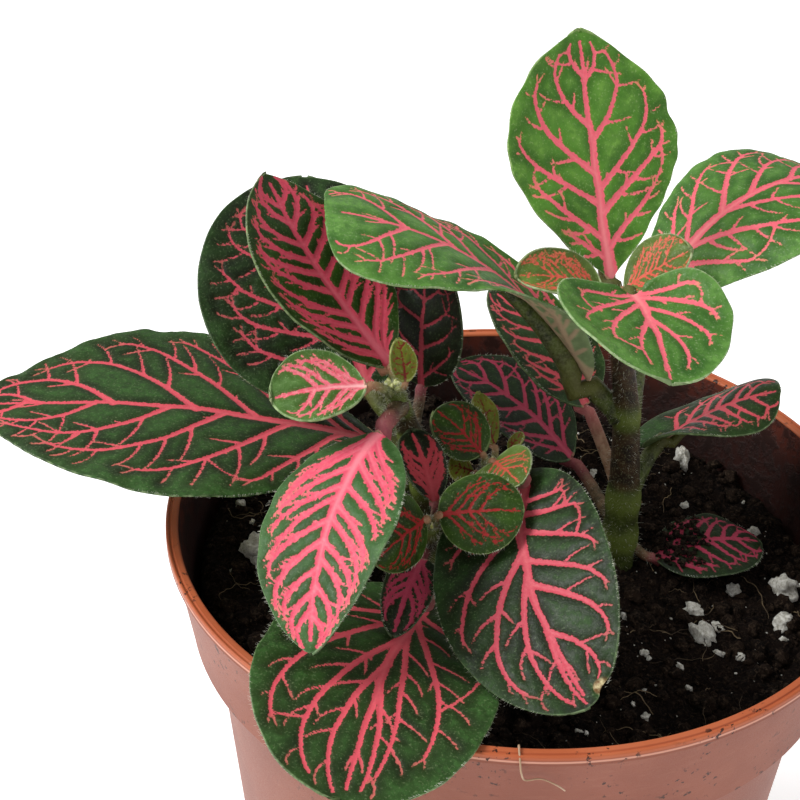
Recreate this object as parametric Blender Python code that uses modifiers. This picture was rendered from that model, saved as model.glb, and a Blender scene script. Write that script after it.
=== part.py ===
"""Nerve plant (Fittonia) with pink veins, growing in a round plastic nursery pot of potting soil.

The origin is the centre of the pot's base, +Z is up, and the plant faces -Y.
Lengths are in millimetres until a mesh or curve is made, and angles are in degrees.
"""

import math

import bmesh
import bpy
import numpy as np

MM = 0.001
GAP = 0.35
STALK_GAP = 0.5
THINNEST_STALK = 0.25
STALK_GROWTH = 0.028

# Pot
POT_HEIGHT = 80.0
RIM_RADIUS = 45.0
RIM_INNER_RADIUS = 43.4
LIP_HEIGHT = 1.2
COLLAR_TOP_RADIUS = 44.3
COLLAR_BOTTOM_RADIUS = 42.4
COLLAR_HEIGHT = 14.9
BODY_TOP_RADIUS = 39.65
BASE_RADIUS = 34.0
EDGE_ROUNDING = 0.6
WALL = 1.2
FLOOR = 1.6
HOLE_RADIUS = 2.6
HOLE_CIRCLE_RADIUS = 26.0
HOLE_COUNT = 8
POT_STEPS = 48

# Soil
SOIL_LEVEL = 70.0
SOIL_SLOPE = -0.06
SOIL_LUMP = 0.35
SOIL_RINGS = 5
SOIL_STEPS = 40

# Stems: a route from the soil to the tip, as x, y, z, radius. The first point starts on the soil.
STEM_STEPS = 9
STEMS = {
    "right_stem": [
        (13.5, 3.5, SOIL_LEVEL, 2.5),
        (13.6, 3.9, 79, 2.2),
        (12.9, 4.5, 91, 1.8),
        (11.4, 3.8, 101, 1.5),
        (9.8, 3.0, 108.4, 1.1),
    ],
    "left_stem": [
        (-10.5, -1, SOIL_LEVEL, 1.9),
        (-12, -2, 82, 1.7),
        (-14.2, -3.4, 93, 1.5),
        (-16, -5.4, 99.5, 1.1),
    ],
    "middle_stem": [
        (-9.5, -6.5, SOIL_LEVEL, 1.7),
        (-10.8, -11, 80, 1.4),
        (-9.9, -17.3, 88.4, 0.9),
    ],
    "inner_stem": [
        (-2.8, 0, SOIL_LEVEL, 1.6),
        (-3.6, -1, 80, 1.3),
        (-4, -2.6, 87.2, 0.9),
    ],
}

# Leaves. The columns are:
#   stem and height: where the leaf's stalk leaves its stem
#   base: where the blade starts; heading, pitch and roll: how it sets off from there
#   length and width of the blade; droop: its bend down; sweep: its bend to the side
#   cup: rise of its edges; fore and aft: fullness towards the base and the tip
#   twist: its turn towards the tip; lobe: depth of a heart-shaped base; skew: one side wider
#   fold: more rise of the edges near the base
COLUMNS = (
    "stem height base heading pitch roll length width droop sweep cup fore aft twist lobe skew fold"
).split()
LEAVES = {
    "right_leaf_upright": (
        "right_stem", 105, (9.5, 6, 110), 120, 62, 8,
        30.5, 22, 5, 5, 0.05, 1.1, 0.85, -5, 0, 0, 0,
    ),
    "right_leaf_outer": (
        "right_stem", 92, (16, 16, 104), 30, 64, -6,
        36, 25, 100, 0, -0.1, 0.7, 0.45, 0, 0.05, 0.05, -0.1,
    ),
    "right_young_leaf_left": (
        "right_stem", 109, (8, 2.4, 110.6), -164, 32, 20,
        11, 7, 35, -10, 0.35, 0.5, 0.55, 10, 0, 0, 0,
    ),
    "right_young_leaf_right": (
        "right_stem", 109, (10.8, 3.2, 110.6), -8, 46, -26,
        9.5, 8, 15, 0, 0.25, 0.6, 0.55, -5, 0, 0, 0,
    ),
    "right_leaf_front": (
        "right_stem", 104, (11.5, -4.2, 114), -70, 2, -2,
        15.5, 20, 25, 10, 0.15, 0.3, 0.5, 20, 0.05, 0.1, 0.3,
    ),
    "right_leaf_arching": (
        "right_stem", 92, (8, 5, 96), 168, 60, -26,
        42, 24, 55, -5, -0.1, 1.1, 0.25, 10, 0, -0.15, 1.6,
    ),
    "right_leaf_low_left": (
        "right_stem", 80, (8, 12.5, 88), 134, 48, -6,
        20.5, 14.5, 35, -10, 0.1, 0.5, 0.6, -5, 0, 0, 0,
    ),
    "right_leaf_low_right": (
        "right_stem", 79, (19, 11, 85), 30, 26, 36,
        16, 15, 20, 30, -0.2, 0.35, 0.4, -25, 0.25, 0.05, 0.7,
    ),
    "right_leaf_behind": (
        "right_stem", 74, (7, 20.5, 74), 162, 48, 4,
        21.5, 16, 40, 0, 0.1, 0.6, 0.65, 0, 0, 0, 0,
    ),
    "right_leaf_on_soil": (
        "right_stem", 73, (18.5, 3, 71), 16, 26, -4,
        15.5, 12, 50, 0, -0.05, 0.55, 0.6, 0, 0, 0.1, 0,
    ),
    "left_leaf_long": (
        "left_stem", 83.5, (-17.5, 3.5, 85.5), -162, 24, 4,
        54, 36, 30, 10, 0, 1.05, 1, 0, 0, 0, 0,
    ),
    "left_leaf_back": (
        "left_stem", 91, (-19.5, 3, 94), 132, 42, 18,
        32, 31, 20, 20, 0.05, 0.45, 0.55, -5, 0, -0.1, 0,
    ),
    "left_leaf_upright": (
        "left_stem", 98, (-16.2, -3.6, 102), 162, 42, 14,
        28, 18.5, 5, 25, 0.1, 0.8, 0.75, -10, 0, 0, 0.1,
    ),
    "left_young_leaf": (
        "left_stem", 100, (-18.6, -11.3, 103.5), -164, 6, 12,
        11, 10, 20, -5, 0.25, 0.6, 0.55, 15, 0, 0, 0,
    ),
    "left_bud_leaf": (
        "left_stem", 100, (-14.2, -8.1, 102.6), 118, 80, 10,
        5, 3.2, 25, -10, 0.15, 0.45, 0.6, 0, 0, 0, 0,
    ),
    "left_leaf_pink": (
        "left_stem", 97, (-16.4, -14.5, 99.7), -116, -10, -4,
        29, 16, 35, -28, 0.1, 0.65, 0.75, -12, 0, 0, -0.4,
    ),
    "left_leaf_dark": (
        "left_stem", 91, (-13.2, 2.8, 95.2), 76, 98, 6,
        16.5, 11.5, 40, -10, 0.1, 0.6, 0.55, 10, 0, 0.05, 0,
    ),
    "middle_leaf_back": (
        "middle_stem", 86, (-9.8, -13.7, 89.4), 112, 40, 0,
        10.2, 5.5, 30, -5, 0.1, 0.65, 0.5, 0, 0, 0, 0,
    ),
    "middle_leaf_front": (
        "middle_stem", 79.5, (-10.9, -17.4, 83.7), -101, 4, 6,
        12.5, 6, 25, -5, 0.15, 0.45, 0.6, 5, 0, 0, 0,
    ),
    "middle_young_leaf_right": (
        "middle_stem", 88, (-8.6, -18.1, 90.9), 6, 12, -28,
        9.5, 10.5, 10, 10, -0.1, 0.45, 0.5, 0, 0.05, 0, 0,
    ),
    "middle_young_leaf_left": (
        "middle_stem", 88, (-10.6, -19.1, 90.6), -116, 12, 60,
        10, 9, 15, -15, -0.15, 0.4, 0.55, 5, 0.05, 0.1, 0,
    ),
    "middle_leaf_over_rim": (
        "middle_stem", 75, (-10.5, -21, 78.6), -104, 18, 6,
        34, 27, 27, -15, 0.05, 0.5, 0.5, 0, 0.15, 0.03, 0,
    ),
    "inner_young_leaf_left": (
        "inner_stem", 88, (-4.9, -2.8, 89.4), 162, 46, 20,
        8, 8, 20, -5, 0, 0.45, 0.5, 0, 0, 0.05, 0,
    ),
    "inner_young_leaf_right": (
        "inner_stem", 88, (-3.2, -6.3, 90.7), -66, 22, -28,
        8, 7.5, 15, 5, 0.1, 0.35, 0.55, 0, 0.05, 0, 0,
    ),
    "inner_bud_leaf_back": (
        "inner_stem", 85, (-3.5, 1.5, 88), 124, 54, -10,
        7, 4, 20, 10, 0.05, 0.6, 0.5, 0, 0, 0, 0,
    ),
    "inner_bud_leaf_left": (
        "inner_stem", 84, (-5.8, -2, 86), -160, 30, 34,
        3.6, 4, 20, 0, 0.05, 0.6, 0.5, 5, 0, 0, 0,
    ),
    "inner_bud_leaf_right": (
        "inner_stem", 84, (-1.6, 1, 87.5), 34, 68, -4,
        3, 2, 30, 5, 0.05, 0.55, 0.55, 0, 0, 0, 0,
    ),
    "inner_leaf_large": (
        "inner_stem", 84, (0.5, -11.2, 90.6), -94, -11, -22,
        31, 21, 24, -36, 0.1, 0.45, 0.55, -5, 0.1, 0.05, 0,
    ),
}
BLADE_THICKNESS = 0.6
BLADE_STATIONS = 10
BLADE_POINTS = 5
STALK_STATIONS = 4
MIDRIB_STEPS = 24
FIRST_STATION = 0.015
LAST_STATION = 0.99


def clear_scene():
    for obj in list(bpy.data.objects):
        bpy.data.objects.remove(obj, do_unlink=True)


def make_collection(name):
    collection = bpy.data.collections.new(name)
    bpy.context.scene.collection.children.link(collection)
    return collection


def make_material(name, colour, roughness):
    material = bpy.data.materials.new(name)
    material.use_nodes = True
    shader = material.node_tree.nodes["Principled BSDF"]
    shader.inputs["Base Color"].default_value = (*colour, 1.0)
    shader.inputs["Roughness"].default_value = roughness
    shader.inputs["Metallic"].default_value = 0.0
    return material


def add_mesh_object(name, mesh, collection, material):
    obj = bpy.data.objects.new(name, mesh)
    mesh.materials.append(material)
    mesh.shade_smooth()
    mesh.set_sharp_from_angle(angle=math.radians(35))
    collection.objects.link(obj)
    return obj


def turned_mesh(name, profile, steps):
    """A mesh turned round Z from (radius, z) points that run down its outer side."""
    bm = bmesh.new()
    points = [bm.verts.new((radius * MM, 0.0, z * MM)) for radius, z in profile]
    for first, second in zip(points, points[1:]):
        bm.edges.new((first, second))
    outline = bpy.data.meshes.new(name + "_outline")
    bm.to_mesh(outline)
    bm.free()
    guide = bpy.data.objects.new(name + "_guide", outline)
    bpy.context.scene.collection.objects.link(guide)
    screw = guide.modifiers.new("turn", "SCREW")
    screw.steps = steps
    screw.render_steps = steps
    screw.use_merge_vertices = True
    screw.merge_threshold = 0.0001
    bpy.context.view_layer.update()
    evaluated = guide.evaluated_get(bpy.context.evaluated_depsgraph_get())
    mesh = bpy.data.meshes.new_from_object(evaluated)
    mesh.name = name
    bpy.data.objects.remove(guide, do_unlink=True)
    return mesh


def inner_wall_radius(z):
    """Radius of the pot's inner wall below the collar."""
    run = (z - FLOOR) / (POT_HEIGHT - COLLAR_HEIGHT - FLOOR)
    return BASE_RADIUS - WALL + run * (BODY_TOP_RADIUS - BASE_RADIUS)


def pot_profile():
    """Inner floor, inner wall, ledge, collar and rim, then down the outside to the base."""
    collar_bottom = POT_HEIGHT - COLLAR_HEIGHT
    soft = EDGE_ROUNDING
    return [
        (0.0, FLOOR),
        (inner_wall_radius(FLOOR), FLOOR),
        (inner_wall_radius(collar_bottom), collar_bottom),
        (COLLAR_BOTTOM_RADIUS - WALL, collar_bottom + WALL),
        (RIM_INNER_RADIUS, POT_HEIGHT - soft / 2),
        (RIM_INNER_RADIUS + soft / 2, POT_HEIGHT),
        (RIM_RADIUS - soft, POT_HEIGHT),
        (RIM_RADIUS, POT_HEIGHT - soft),
        (RIM_RADIUS, POT_HEIGHT - LIP_HEIGHT),
        (COLLAR_TOP_RADIUS, POT_HEIGHT - LIP_HEIGHT - soft),
        (COLLAR_BOTTOM_RADIUS, collar_bottom + soft),
        (COLLAR_BOTTOM_RADIUS - soft, collar_bottom),
        (BODY_TOP_RADIUS, collar_bottom),
        (BASE_RADIUS, soft),
        (BASE_RADIUS - soft, 0.0),
        (0.0, 0.0),
    ]


def drain_cutter(collection):
    """One mesh of round cutters through the floor near its edge."""
    bm = bmesh.new()
    for index in range(HOLE_COUNT):
        angle = 2 * math.pi * (index + 0.5) / HOLE_COUNT
        hole = bmesh.ops.create_cone(
            bm,
            cap_ends=True,
            segments=12,
            radius1=HOLE_RADIUS * MM,
            radius2=HOLE_RADIUS * MM,
            depth=3 * FLOOR * MM,
        )
        place = (HOLE_CIRCLE_RADIUS * MM * math.cos(angle), HOLE_CIRCLE_RADIUS * MM * math.sin(angle), 0)
        bmesh.ops.translate(bm, verts=hole["verts"], vec=place)
    mesh = bpy.data.meshes.new("drain_cutter")
    bm.to_mesh(mesh)
    bm.free()
    cutter = bpy.data.objects.new("drain_cutter", mesh)
    cutter.hide_render = True
    cutter.display_type = "WIRE"
    collection.objects.link(cutter)
    return cutter


def make_pot(parts, cutters):
    plastic = make_material("terracotta_plastic", (0.42, 0.13, 0.07), 0.55)
    mesh = turned_mesh("pot", pot_profile(), POT_STEPS)
    pot = add_mesh_object("pot", mesh, parts, plastic)
    drain = pot.modifiers.new("drain_holes", "BOOLEAN")
    drain.operation = "DIFFERENCE"
    drain.object = drain_cutter(cutters)
    return pot


def soil_height(x, y):
    """Height of the soil's top, lower towards +X and gently lumpy."""
    lumps = math.sin(x * 0.35 + 1.0) * math.cos(y * 0.31) + 0.5 * math.sin(x * 0.8 - y * 0.6)
    return SOIL_LEVEL + SOIL_SLOPE * x + SOIL_LUMP * lumps


def make_soil(parts):
    """A plug that fills the pot and meets its walls with a small gap."""
    peat = make_material("potting_soil", (0.012, 0.008, 0.006), 0.95)
    collar_bottom = POT_HEIGHT - COLLAR_HEIGHT
    ledge = inner_wall_radius(collar_bottom) - GAP
    edge = COLLAR_BOTTOM_RADIUS - WALL - GAP
    tops = [edge * (ring + 1) / SOIL_RINGS for ring in range(SOIL_RINGS)]
    profile = [(0.0, SOIL_LEVEL)]
    profile += [(radius, SOIL_LEVEL) for radius in tops]
    profile += [
        (edge, collar_bottom + WALL + GAP),
        (ledge, collar_bottom + GAP),
        (inner_wall_radius(FLOOR) - GAP, FLOOR + GAP),
        (0.0, FLOOR + GAP),
    ]
    mesh = turned_mesh("soil", profile, SOIL_STEPS)
    for vertex in mesh.vertices:
        if vertex.co.z > (SOIL_LEVEL - 1) * MM:
            vertex.co.z = soil_height(vertex.co.x / MM, vertex.co.y / MM) * MM
    return add_mesh_object("soil", mesh, parts, peat)


def smooth_route(points, steps):
    """A smooth curve through the points, whose coordinates may be any number of values."""
    points = np.array(points, float)
    padded = np.vstack([2 * points[0] - points[1], points, 2 * points[-1] - points[-2]])
    spans = len(points) - 1
    route = []
    for step in range(steps):
        place = step / (steps - 1) * spans
        span = min(int(place), spans - 1)
        t = place - span
        before, start, end, after = padded[span : span + 4]
        bend = (2 * before - 5 * start + 4 * end - after) * t**2
        turn = (3 * start - before - 3 * end + after) * t**3
        route.append((2 * start + (end - before) * t + bend + turn) / 2)
    return np.array(route)


def stem_route(name):
    """The stem's points with radius, starting just above the soil."""
    points = [list(point) for point in STEMS[name]]
    points[0][2] = soil_height(points[0][0], points[0][1]) + SOIL_LUMP + 2.5 * GAP
    return smooth_route(points, STEM_STEPS)


def make_stem(name, parts, material):
    curve = bpy.data.curves.new(name, "CURVE")
    curve.dimensions = "3D"
    curve.bevel_depth = MM
    curve.bevel_resolution = 2
    curve.use_fill_caps = True
    route = stem_route(name)
    spline = curve.splines.new("POLY")
    spline.points.add(len(route) - 1)
    for point, (x, y, z, radius) in zip(spline.points, route):
        point.co = (x * MM, y * MM, z * MM, 1.0)
        point.radius = radius
    curve.materials.append(material)
    stem = bpy.data.objects.new(name, curve)
    parts.objects.link(stem)
    return stem


def unit(vector):
    return vector / np.linalg.norm(vector)


def blade_directions(leaf):
    """Forward, right and up at the start of the blade."""
    heading, pitch, roll = (math.radians(leaf[key]) for key in ("heading", "pitch", "roll"))
    level = math.cos(pitch)
    forward = np.array([level * math.cos(heading), level * math.sin(heading), math.sin(pitch)])
    side = np.array([math.sin(heading), -math.cos(heading), 0.0])
    up = np.cross(side, forward)
    right = math.cos(roll) * side + math.sin(roll) * up
    return forward, right, np.cross(right, forward)


def midrib(leaf):
    """Points of the midrib with the forward, right and up directions at each."""
    forward, right, up = blade_directions(leaf)
    step = leaf["length"] / MIDRIB_STEPS
    place = np.array(leaf["base"], float)
    stations = []
    ahead = forward
    for index in range(MIDRIB_STEPS + 1):
        part = index / MIDRIB_STEPS
        droop = math.radians(leaf["droop"]) * part
        sweep = math.radians(leaf["sweep"]) * part
        level = math.cos(sweep) * forward + math.sin(sweep) * right
        turned = math.cos(droop) * level - math.sin(droop) * up
        if index:
            place = place + (ahead + turned) / 2 * step
        ahead = turned
        across = math.cos(sweep) * right - math.sin(sweep) * forward
        across = unit(across - np.dot(across, ahead) * ahead)
        above = np.cross(across, ahead)
        twist = math.radians(leaf["twist"]) * part
        turned_across = math.cos(twist) * across + math.sin(twist) * above
        stations.append((place, ahead, turned_across, np.cross(turned_across, ahead)))
    return stations


def fullness(leaf, part):
    """Half width of the blade at a part of its length, as a share of the widest."""
    fore, aft = leaf["fore"], leaf["aft"]
    widest = fore / (fore + aft)
    return part**fore * (1 - part) ** aft / (widest**fore * (1 - widest) ** aft)


def stalk_radius(leaf):
    return THINNEST_STALK + STALK_GROWTH * leaf["length"]


def blade_ring(leaf, stations, part):
    """A closed ring round the blade: its upper side from left to right, then its underside back."""
    place = part * MIDRIB_STEPS
    low = min(int(place), MIDRIB_STEPS - 1)
    share = place - low
    middle, forward, right, up = (
        (1 - share) * first + share * second for first, second in zip(stations[low], stations[low + 1])
    )
    half = BLADE_THICKNESS / 2
    rows = []
    for side in np.linspace(-1, 1, BLADE_POINTS):
        reach = leaf["width"] / 2 * fullness(leaf, part) * (1 + leaf["skew"] * side)
        rise = (leaf["cup"] + leaf["fold"] * (1 - part) ** 3) * reach * side**2
        back = leaf["lobe"] * leaf["length"] * (1 - part) ** 3 * side**2
        thick = half + (stalk_radius(leaf) - half) * math.exp(-8 * part) * (1 - side**2) ** 2
        point = middle + right * reach * side + up * rise - forward * back
        rows.append((point + up * thick, point - up * thick))
    return [upper for upper, _ in rows] + [under for _, under in reversed(rows)]


def stem_at(name, height):
    """Centre, direction and radius of a stem at a height, or at its tip."""
    route = stem_route(name)
    height = min(height, route[-1][2])
    index = int(np.searchsorted(route[:, 2], height, side="left"))
    index = min(max(index, 1), len(route) - 1)
    low, high = route[index - 1], route[index]
    share = (height - low[2]) / (high[2] - low[2])
    centre = low + share * (high - low)
    return centre[:3], unit((high - low)[:3]), centre[3]


def stalk_route(leaf, forward):
    """A bent route from just outside the stem to the start of the blade."""
    centre, along, radius = stem_at(leaf["stem"], leaf["height"])
    base = np.array(leaf["base"], float)
    way = unit(base - centre)
    out = unit(way - np.dot(way, along) * along)
    if leaf["height"] > stem_route(leaf["stem"])[-1][2]:
        root = centre + along * (STALK_GAP + stalk_radius(leaf)) + out * (stalk_radius(leaf) + STALK_GAP)
    else:
        root = centre + out * (radius + STALK_GAP + stalk_radius(leaf) * abs(np.dot(way, along)))
    reach = np.linalg.norm(base - root)
    start_pull = root + unit(base - root) * reach * 0.35
    end_pull = base - forward * reach * 0.35
    route = []
    for index in range(STALK_STATIONS):
        t = index / STALK_STATIONS
        near = (1 - t) ** 3 * root + 3 * (1 - t) ** 2 * t * start_pull
        route.append(near + 3 * (1 - t) * t**2 * end_pull + t**3 * base)
    return route + [base]


def stalk_rings(leaf, forward, right):
    """Round rings along the stalk, ending short of the blade's first ring."""
    route = stalk_route(leaf, forward)
    radius = stalk_radius(leaf)
    count = 2 * BLADE_POINTS
    rings = []
    across = right
    for index in range(STALK_STATIONS - 1, -1, -1):
        ahead = unit(route[index + 1] - route[index])
        across = unit(across - np.dot(across, ahead) * ahead)
        above = np.cross(across, ahead)
        ring = []
        for corner in range(count):
            angle = math.pi - 2 * math.pi * (corner + 0.5) / count
            ring.append(route[index] + radius * (math.cos(angle) * across + math.sin(angle) * above))
        rings.append(ring)
    return rings[::-1]


def leaf_rings(leaf):
    stations = midrib(leaf)
    _, forward, right, _ = stations[0]
    rings = stalk_rings(leaf, forward, right)
    for index in range(BLADE_STATIONS):
        part = (1 - math.cos(math.pi * index / (BLADE_STATIONS - 1))) / 2
        rings.append(blade_ring(leaf, stations, FIRST_STATION + (LAST_STATION - FIRST_STATION) * part))
    return rings


def make_leaf(name, row, parts, material):
    """Stalk and blade as one closed loft through rings of the same number of points."""
    leaf = dict(zip(COLUMNS, row))
    bm = bmesh.new()
    loops = [[bm.verts.new(point * MM) for point in ring] for ring in leaf_rings(leaf)]
    for near, far in zip(loops, loops[1:]):
        for index in range(len(near)):
            after = (index + 1) % len(near)
            bm.faces.new((near[index], near[after], far[after], far[index]))
    bm.faces.new(loops[0][::-1])
    bm.faces.new(loops[-1])
    bmesh.ops.triangulate(bm, faces=bm.faces[:])
    bmesh.ops.recalc_face_normals(bm, faces=bm.faces[:])
    mesh = bpy.data.meshes.new(name)
    bm.to_mesh(mesh)
    bm.free()
    return add_mesh_object(name, mesh, parts, material)


def leaf_material(name):
    """Young and bud leaves are lighter, the pink leaf is mostly vein."""
    if "bud" in name:
        return make_material(name + "_tissue", (0.22, 0.26, 0.03), 0.5)
    if "young" in name:
        return make_material(name + "_tissue", (0.22, 0.12, 0.04), 0.5)
    if "pink" in name:
        return make_material(name + "_tissue", (0.55, 0.10, 0.12), 0.5)
    return make_material(name + "_tissue", (0.03, 0.11, 0.02), 0.45)


def main():
    clear_scene()
    parts = make_collection("potted_nerve_plant")
    cutters = make_collection("cutters")
    make_pot(parts, cutters)
    make_soil(parts)
    for name in STEMS:
        make_stem(name, parts, make_material(name + "_bark", (0.10, 0.07, 0.03), 0.7))
    for name, row in LEAVES.items():
        make_leaf(name, row, parts, leaf_material(name))
    cutters.hide_render = True


main()
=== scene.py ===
import math
import random
from functools import partial

import bmesh
import bpy
import numpy as np
from mathutils import Matrix, Vector, kdtree, noise


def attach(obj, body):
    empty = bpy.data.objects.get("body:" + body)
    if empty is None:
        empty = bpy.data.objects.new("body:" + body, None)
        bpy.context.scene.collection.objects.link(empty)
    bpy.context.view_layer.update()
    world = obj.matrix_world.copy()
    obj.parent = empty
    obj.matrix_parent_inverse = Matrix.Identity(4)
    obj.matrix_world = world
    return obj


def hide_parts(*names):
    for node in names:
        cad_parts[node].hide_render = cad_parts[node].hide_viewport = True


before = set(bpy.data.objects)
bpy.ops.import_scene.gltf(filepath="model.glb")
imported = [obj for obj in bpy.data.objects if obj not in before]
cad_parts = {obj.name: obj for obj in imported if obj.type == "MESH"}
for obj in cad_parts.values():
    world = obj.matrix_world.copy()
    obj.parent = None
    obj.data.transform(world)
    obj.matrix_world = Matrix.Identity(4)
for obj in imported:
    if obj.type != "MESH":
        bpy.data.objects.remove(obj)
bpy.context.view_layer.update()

mm = 0.001


def toLinear(hexCode, alpha=1.0):
    channels = [int(hexCode[i : i + 2], 16) / 255 for i in (0, 2, 4)]
    return (*(c / 12.92 if c <= 0.04045 else ((c + 0.055) / 1.055) ** 2.4 for c in channels), alpha)


# What every Mix and MapRange node has, and the two kinds of sum. A noise has blobs about 1000 / its scale mm
# across. A MapRange turns a range softly into 0 to 1, or into the last two numbers it is given.
usual = {"Mix": dict(data_type="RGBA"), "MapRange": dict(interpolation_type="SMOOTHSTEP")}
times = dict(operation="MULTIPLY")
plus = dict(operation="ADD")


def addNode(tree, kind, *values, output=0, **settings):
    # Adds a node and returns one output. The values go to its inputs in turn: a socket is linked, a string
    # is an sRGB colour, and None leaves an input alone.
    made = tree.nodes.new("ShaderNode" + kind)
    for name, value in {**usual.get(kind, {}), **settings}.items():
        setattr(made, name, value)
    for socket, value in zip([socket for socket in made.inputs if socket.enabled], values):
        if isinstance(value, bpy.types.NodeSocket):
            tree.links.new(value, socket)
        elif value is not None:
            socket.default_value = toLinear(value) if isinstance(value, str) else value
    return made.outputs[output] if output else [socket for socket in made.outputs if socket.enabled][0]


def newMaterial(name, roughness, **constants):
    # the material, its Principled shader, the function that adds its nodes, and its Object coordinates
    material = bpy.data.materials.new(name)
    material.use_nodes = True
    shader = material.node_tree.nodes["Principled BSDF"]
    shader.inputs["Roughness"].default_value = roughness
    for key, value in constants.items():
        shader.inputs[key.replace("_", " ")].default_value = value
    add = partial(addNode, material.node_tree)
    return material, shader, add, add("TexCoord", output="Object")


def feed(shader, **outputs):
    for key, value in outputs.items():
        shader.id_data.links.new(value, shader.inputs[key.replace("_", " ")])


def smoothCurve(points, count):
    # Catmull-Rom curve through the points, of any number of values each
    points = np.array(points, float)
    padded = np.vstack([2 * points[0] - points[1], points, 2 * points[-1] - points[-2]])
    spans = len(points) - 1
    place = np.linspace(0, spans, count)
    span = np.minimum(place.astype(int), spans - 1)
    t = (place - span)[:, None]
    before, start, end, after = (padded[span + k] for k in range(4))
    bend = (2 * before - 5 * start + 4 * end - after) * t**2
    turn = (3 * start - before - 3 * end + after) * t**3
    return (2 * start + (end - before) * t + bend + turn) / 2


def linkObject(name, mesh, materials):
    made = bpy.data.objects.new(name, mesh)
    bpy.context.scene.collection.objects.link(made)
    for material in materials:
        mesh.materials.append(material)
    return made


def setPoints(mesh, pointsMm):
    mesh.vertices.foreach_set("co", (np.asarray(pointsMm) * mm).astype(np.float32).ravel())
    mesh.update()


def meshFrom(bm, name):
    mesh = bpy.data.meshes.new(name)
    bm.to_mesh(mesh)
    bm.free()
    return mesh


def evaluatedMesh(shown):
    bpy.context.view_layer.update()
    return bpy.data.meshes.new_from_object(shown.evaluated_get(bpy.context.evaluated_depsgraph_get()))


def getPoints(mesh):
    flat = np.empty(len(mesh.vertices) * 3, np.float32)
    mesh.vertices.foreach_get("co", flat)
    return flat.reshape(-1, 3).astype(float) / mm


def setAttribute(mesh, name, values):
    layer = mesh.attributes.get(name) or mesh.attributes.new(name, "FLOAT", "POINT")
    layer.data.foreach_set("value", np.asarray(values, np.float32))


def tubeObject(name, route, radii, material, sides=3):
    # a smooth tube along a route in mm, closed at both ends
    curve = bpy.data.curves.new(name + "Route", "CURVE")
    curve.dimensions = "3D"
    curve.bevel_depth = mm
    curve.bevel_resolution = sides
    curve.use_fill_caps = True
    spline = curve.splines.new("POLY")
    spline.points.add(len(route) - 1)
    for point, place, radius in zip(spline.points, route, radii):
        point.co = (*(c * mm for c in place), 1.0)
        point.radius = radius
    guide = bpy.data.objects.new(name + "Guide", curve)
    bpy.context.scene.collection.objects.link(guide)
    mesh = evaluatedMesh(guide)
    mesh.materials.clear()
    bpy.data.objects.remove(guide)
    bm = bmesh.new()
    bm.from_mesh(mesh)
    bmesh.ops.remove_doubles(bm, verts=bm.verts, dist=0.001 * mm)
    bmesh.ops.recalc_face_normals(bm, faces=bm.faces)
    bm.to_mesh(mesh)
    bm.free()
    mesh.shade_smooth()
    return linkObject(name, mesh, [material])


def joinObjects(target, others):
    chosen = [target, *others]
    with bpy.context.temp_override(
        active_object=target, object=target, selected_objects=chosen, selected_editable_objects=chosen
    ):
        bpy.ops.object.join()
    return target


def scatterCopies(name, shapes, placings, materials):
    # one mesh of many copies: each placing is (number of the shape, matrix in mm)
    points, corners, sizes, total = [], [], [], 0
    arrays = []
    for mesh in shapes:
        loops = np.empty(len(mesh.loops), np.int32)
        mesh.loops.foreach_get("vertex_index", loops)
        lengths = np.empty(len(mesh.polygons), np.int32)
        mesh.polygons.foreach_get("loop_total", lengths)
        arrays.append((getPoints(mesh), loops, lengths))
    for number, matrix in placings:
        shape, loops, lengths = arrays[number]
        points.append(shape @ matrix[:3, :3].T + matrix[:3, 3])
        corners.append(loops + total)
        sizes.append(lengths)
        total += len(shape)
    points, corners, sizes = np.vstack(points), np.concatenate(corners), np.concatenate(sizes)
    mesh = bpy.data.meshes.new(name)
    mesh.vertices.add(len(points))
    mesh.loops.add(len(corners))
    mesh.polygons.add(len(sizes))
    mesh.loops.foreach_set("vertex_index", corners)
    mesh.polygons.foreach_set("loop_start", np.concatenate([[0], np.cumsum(sizes)[:-1]]).astype(np.int32))
    setPoints(mesh, points)
    mesh.validate()
    mesh.shade_smooth()
    return linkObject(name, mesh, materials)


def finishPiece(piece, slotName, *nodes):
    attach(piece, "root")
    if nodes:
        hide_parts(*nodes)


def unit(vector):
    return vector / np.maximum(np.linalg.norm(vector, axis=-1, keepdims=True), 1e-12)


# a hair is one thin three-sided spike, one long and pointing along +Z
bm = bmesh.new()
bmesh.ops.create_cone(bm, cap_ends=True, segments=3, radius1=1, radius2=0.12, depth=1)
bmesh.ops.translate(bm, verts=bm.verts, vec=(0, 0, 0.5))
bmesh.ops.scale(bm, verts=bm.verts, vec=(mm, mm, mm))
hairShape = meshFrom(bm, "hairShape")


def hairMatrix(place, direction, length, radius, rng):
    z = unit(direction)
    x = unit(np.cross(z, [rng.uniform(-1, 1), rng.uniform(-1, 1), 0.31]))
    matrix = np.eye(4)
    matrix[:3, 0] = x * radius
    matrix[:3, 1] = np.cross(z, x) * radius
    matrix[:3, 2] = z * length
    matrix[:3, 3] = place
    return 0, matrix


print("leaf materials")

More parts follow.
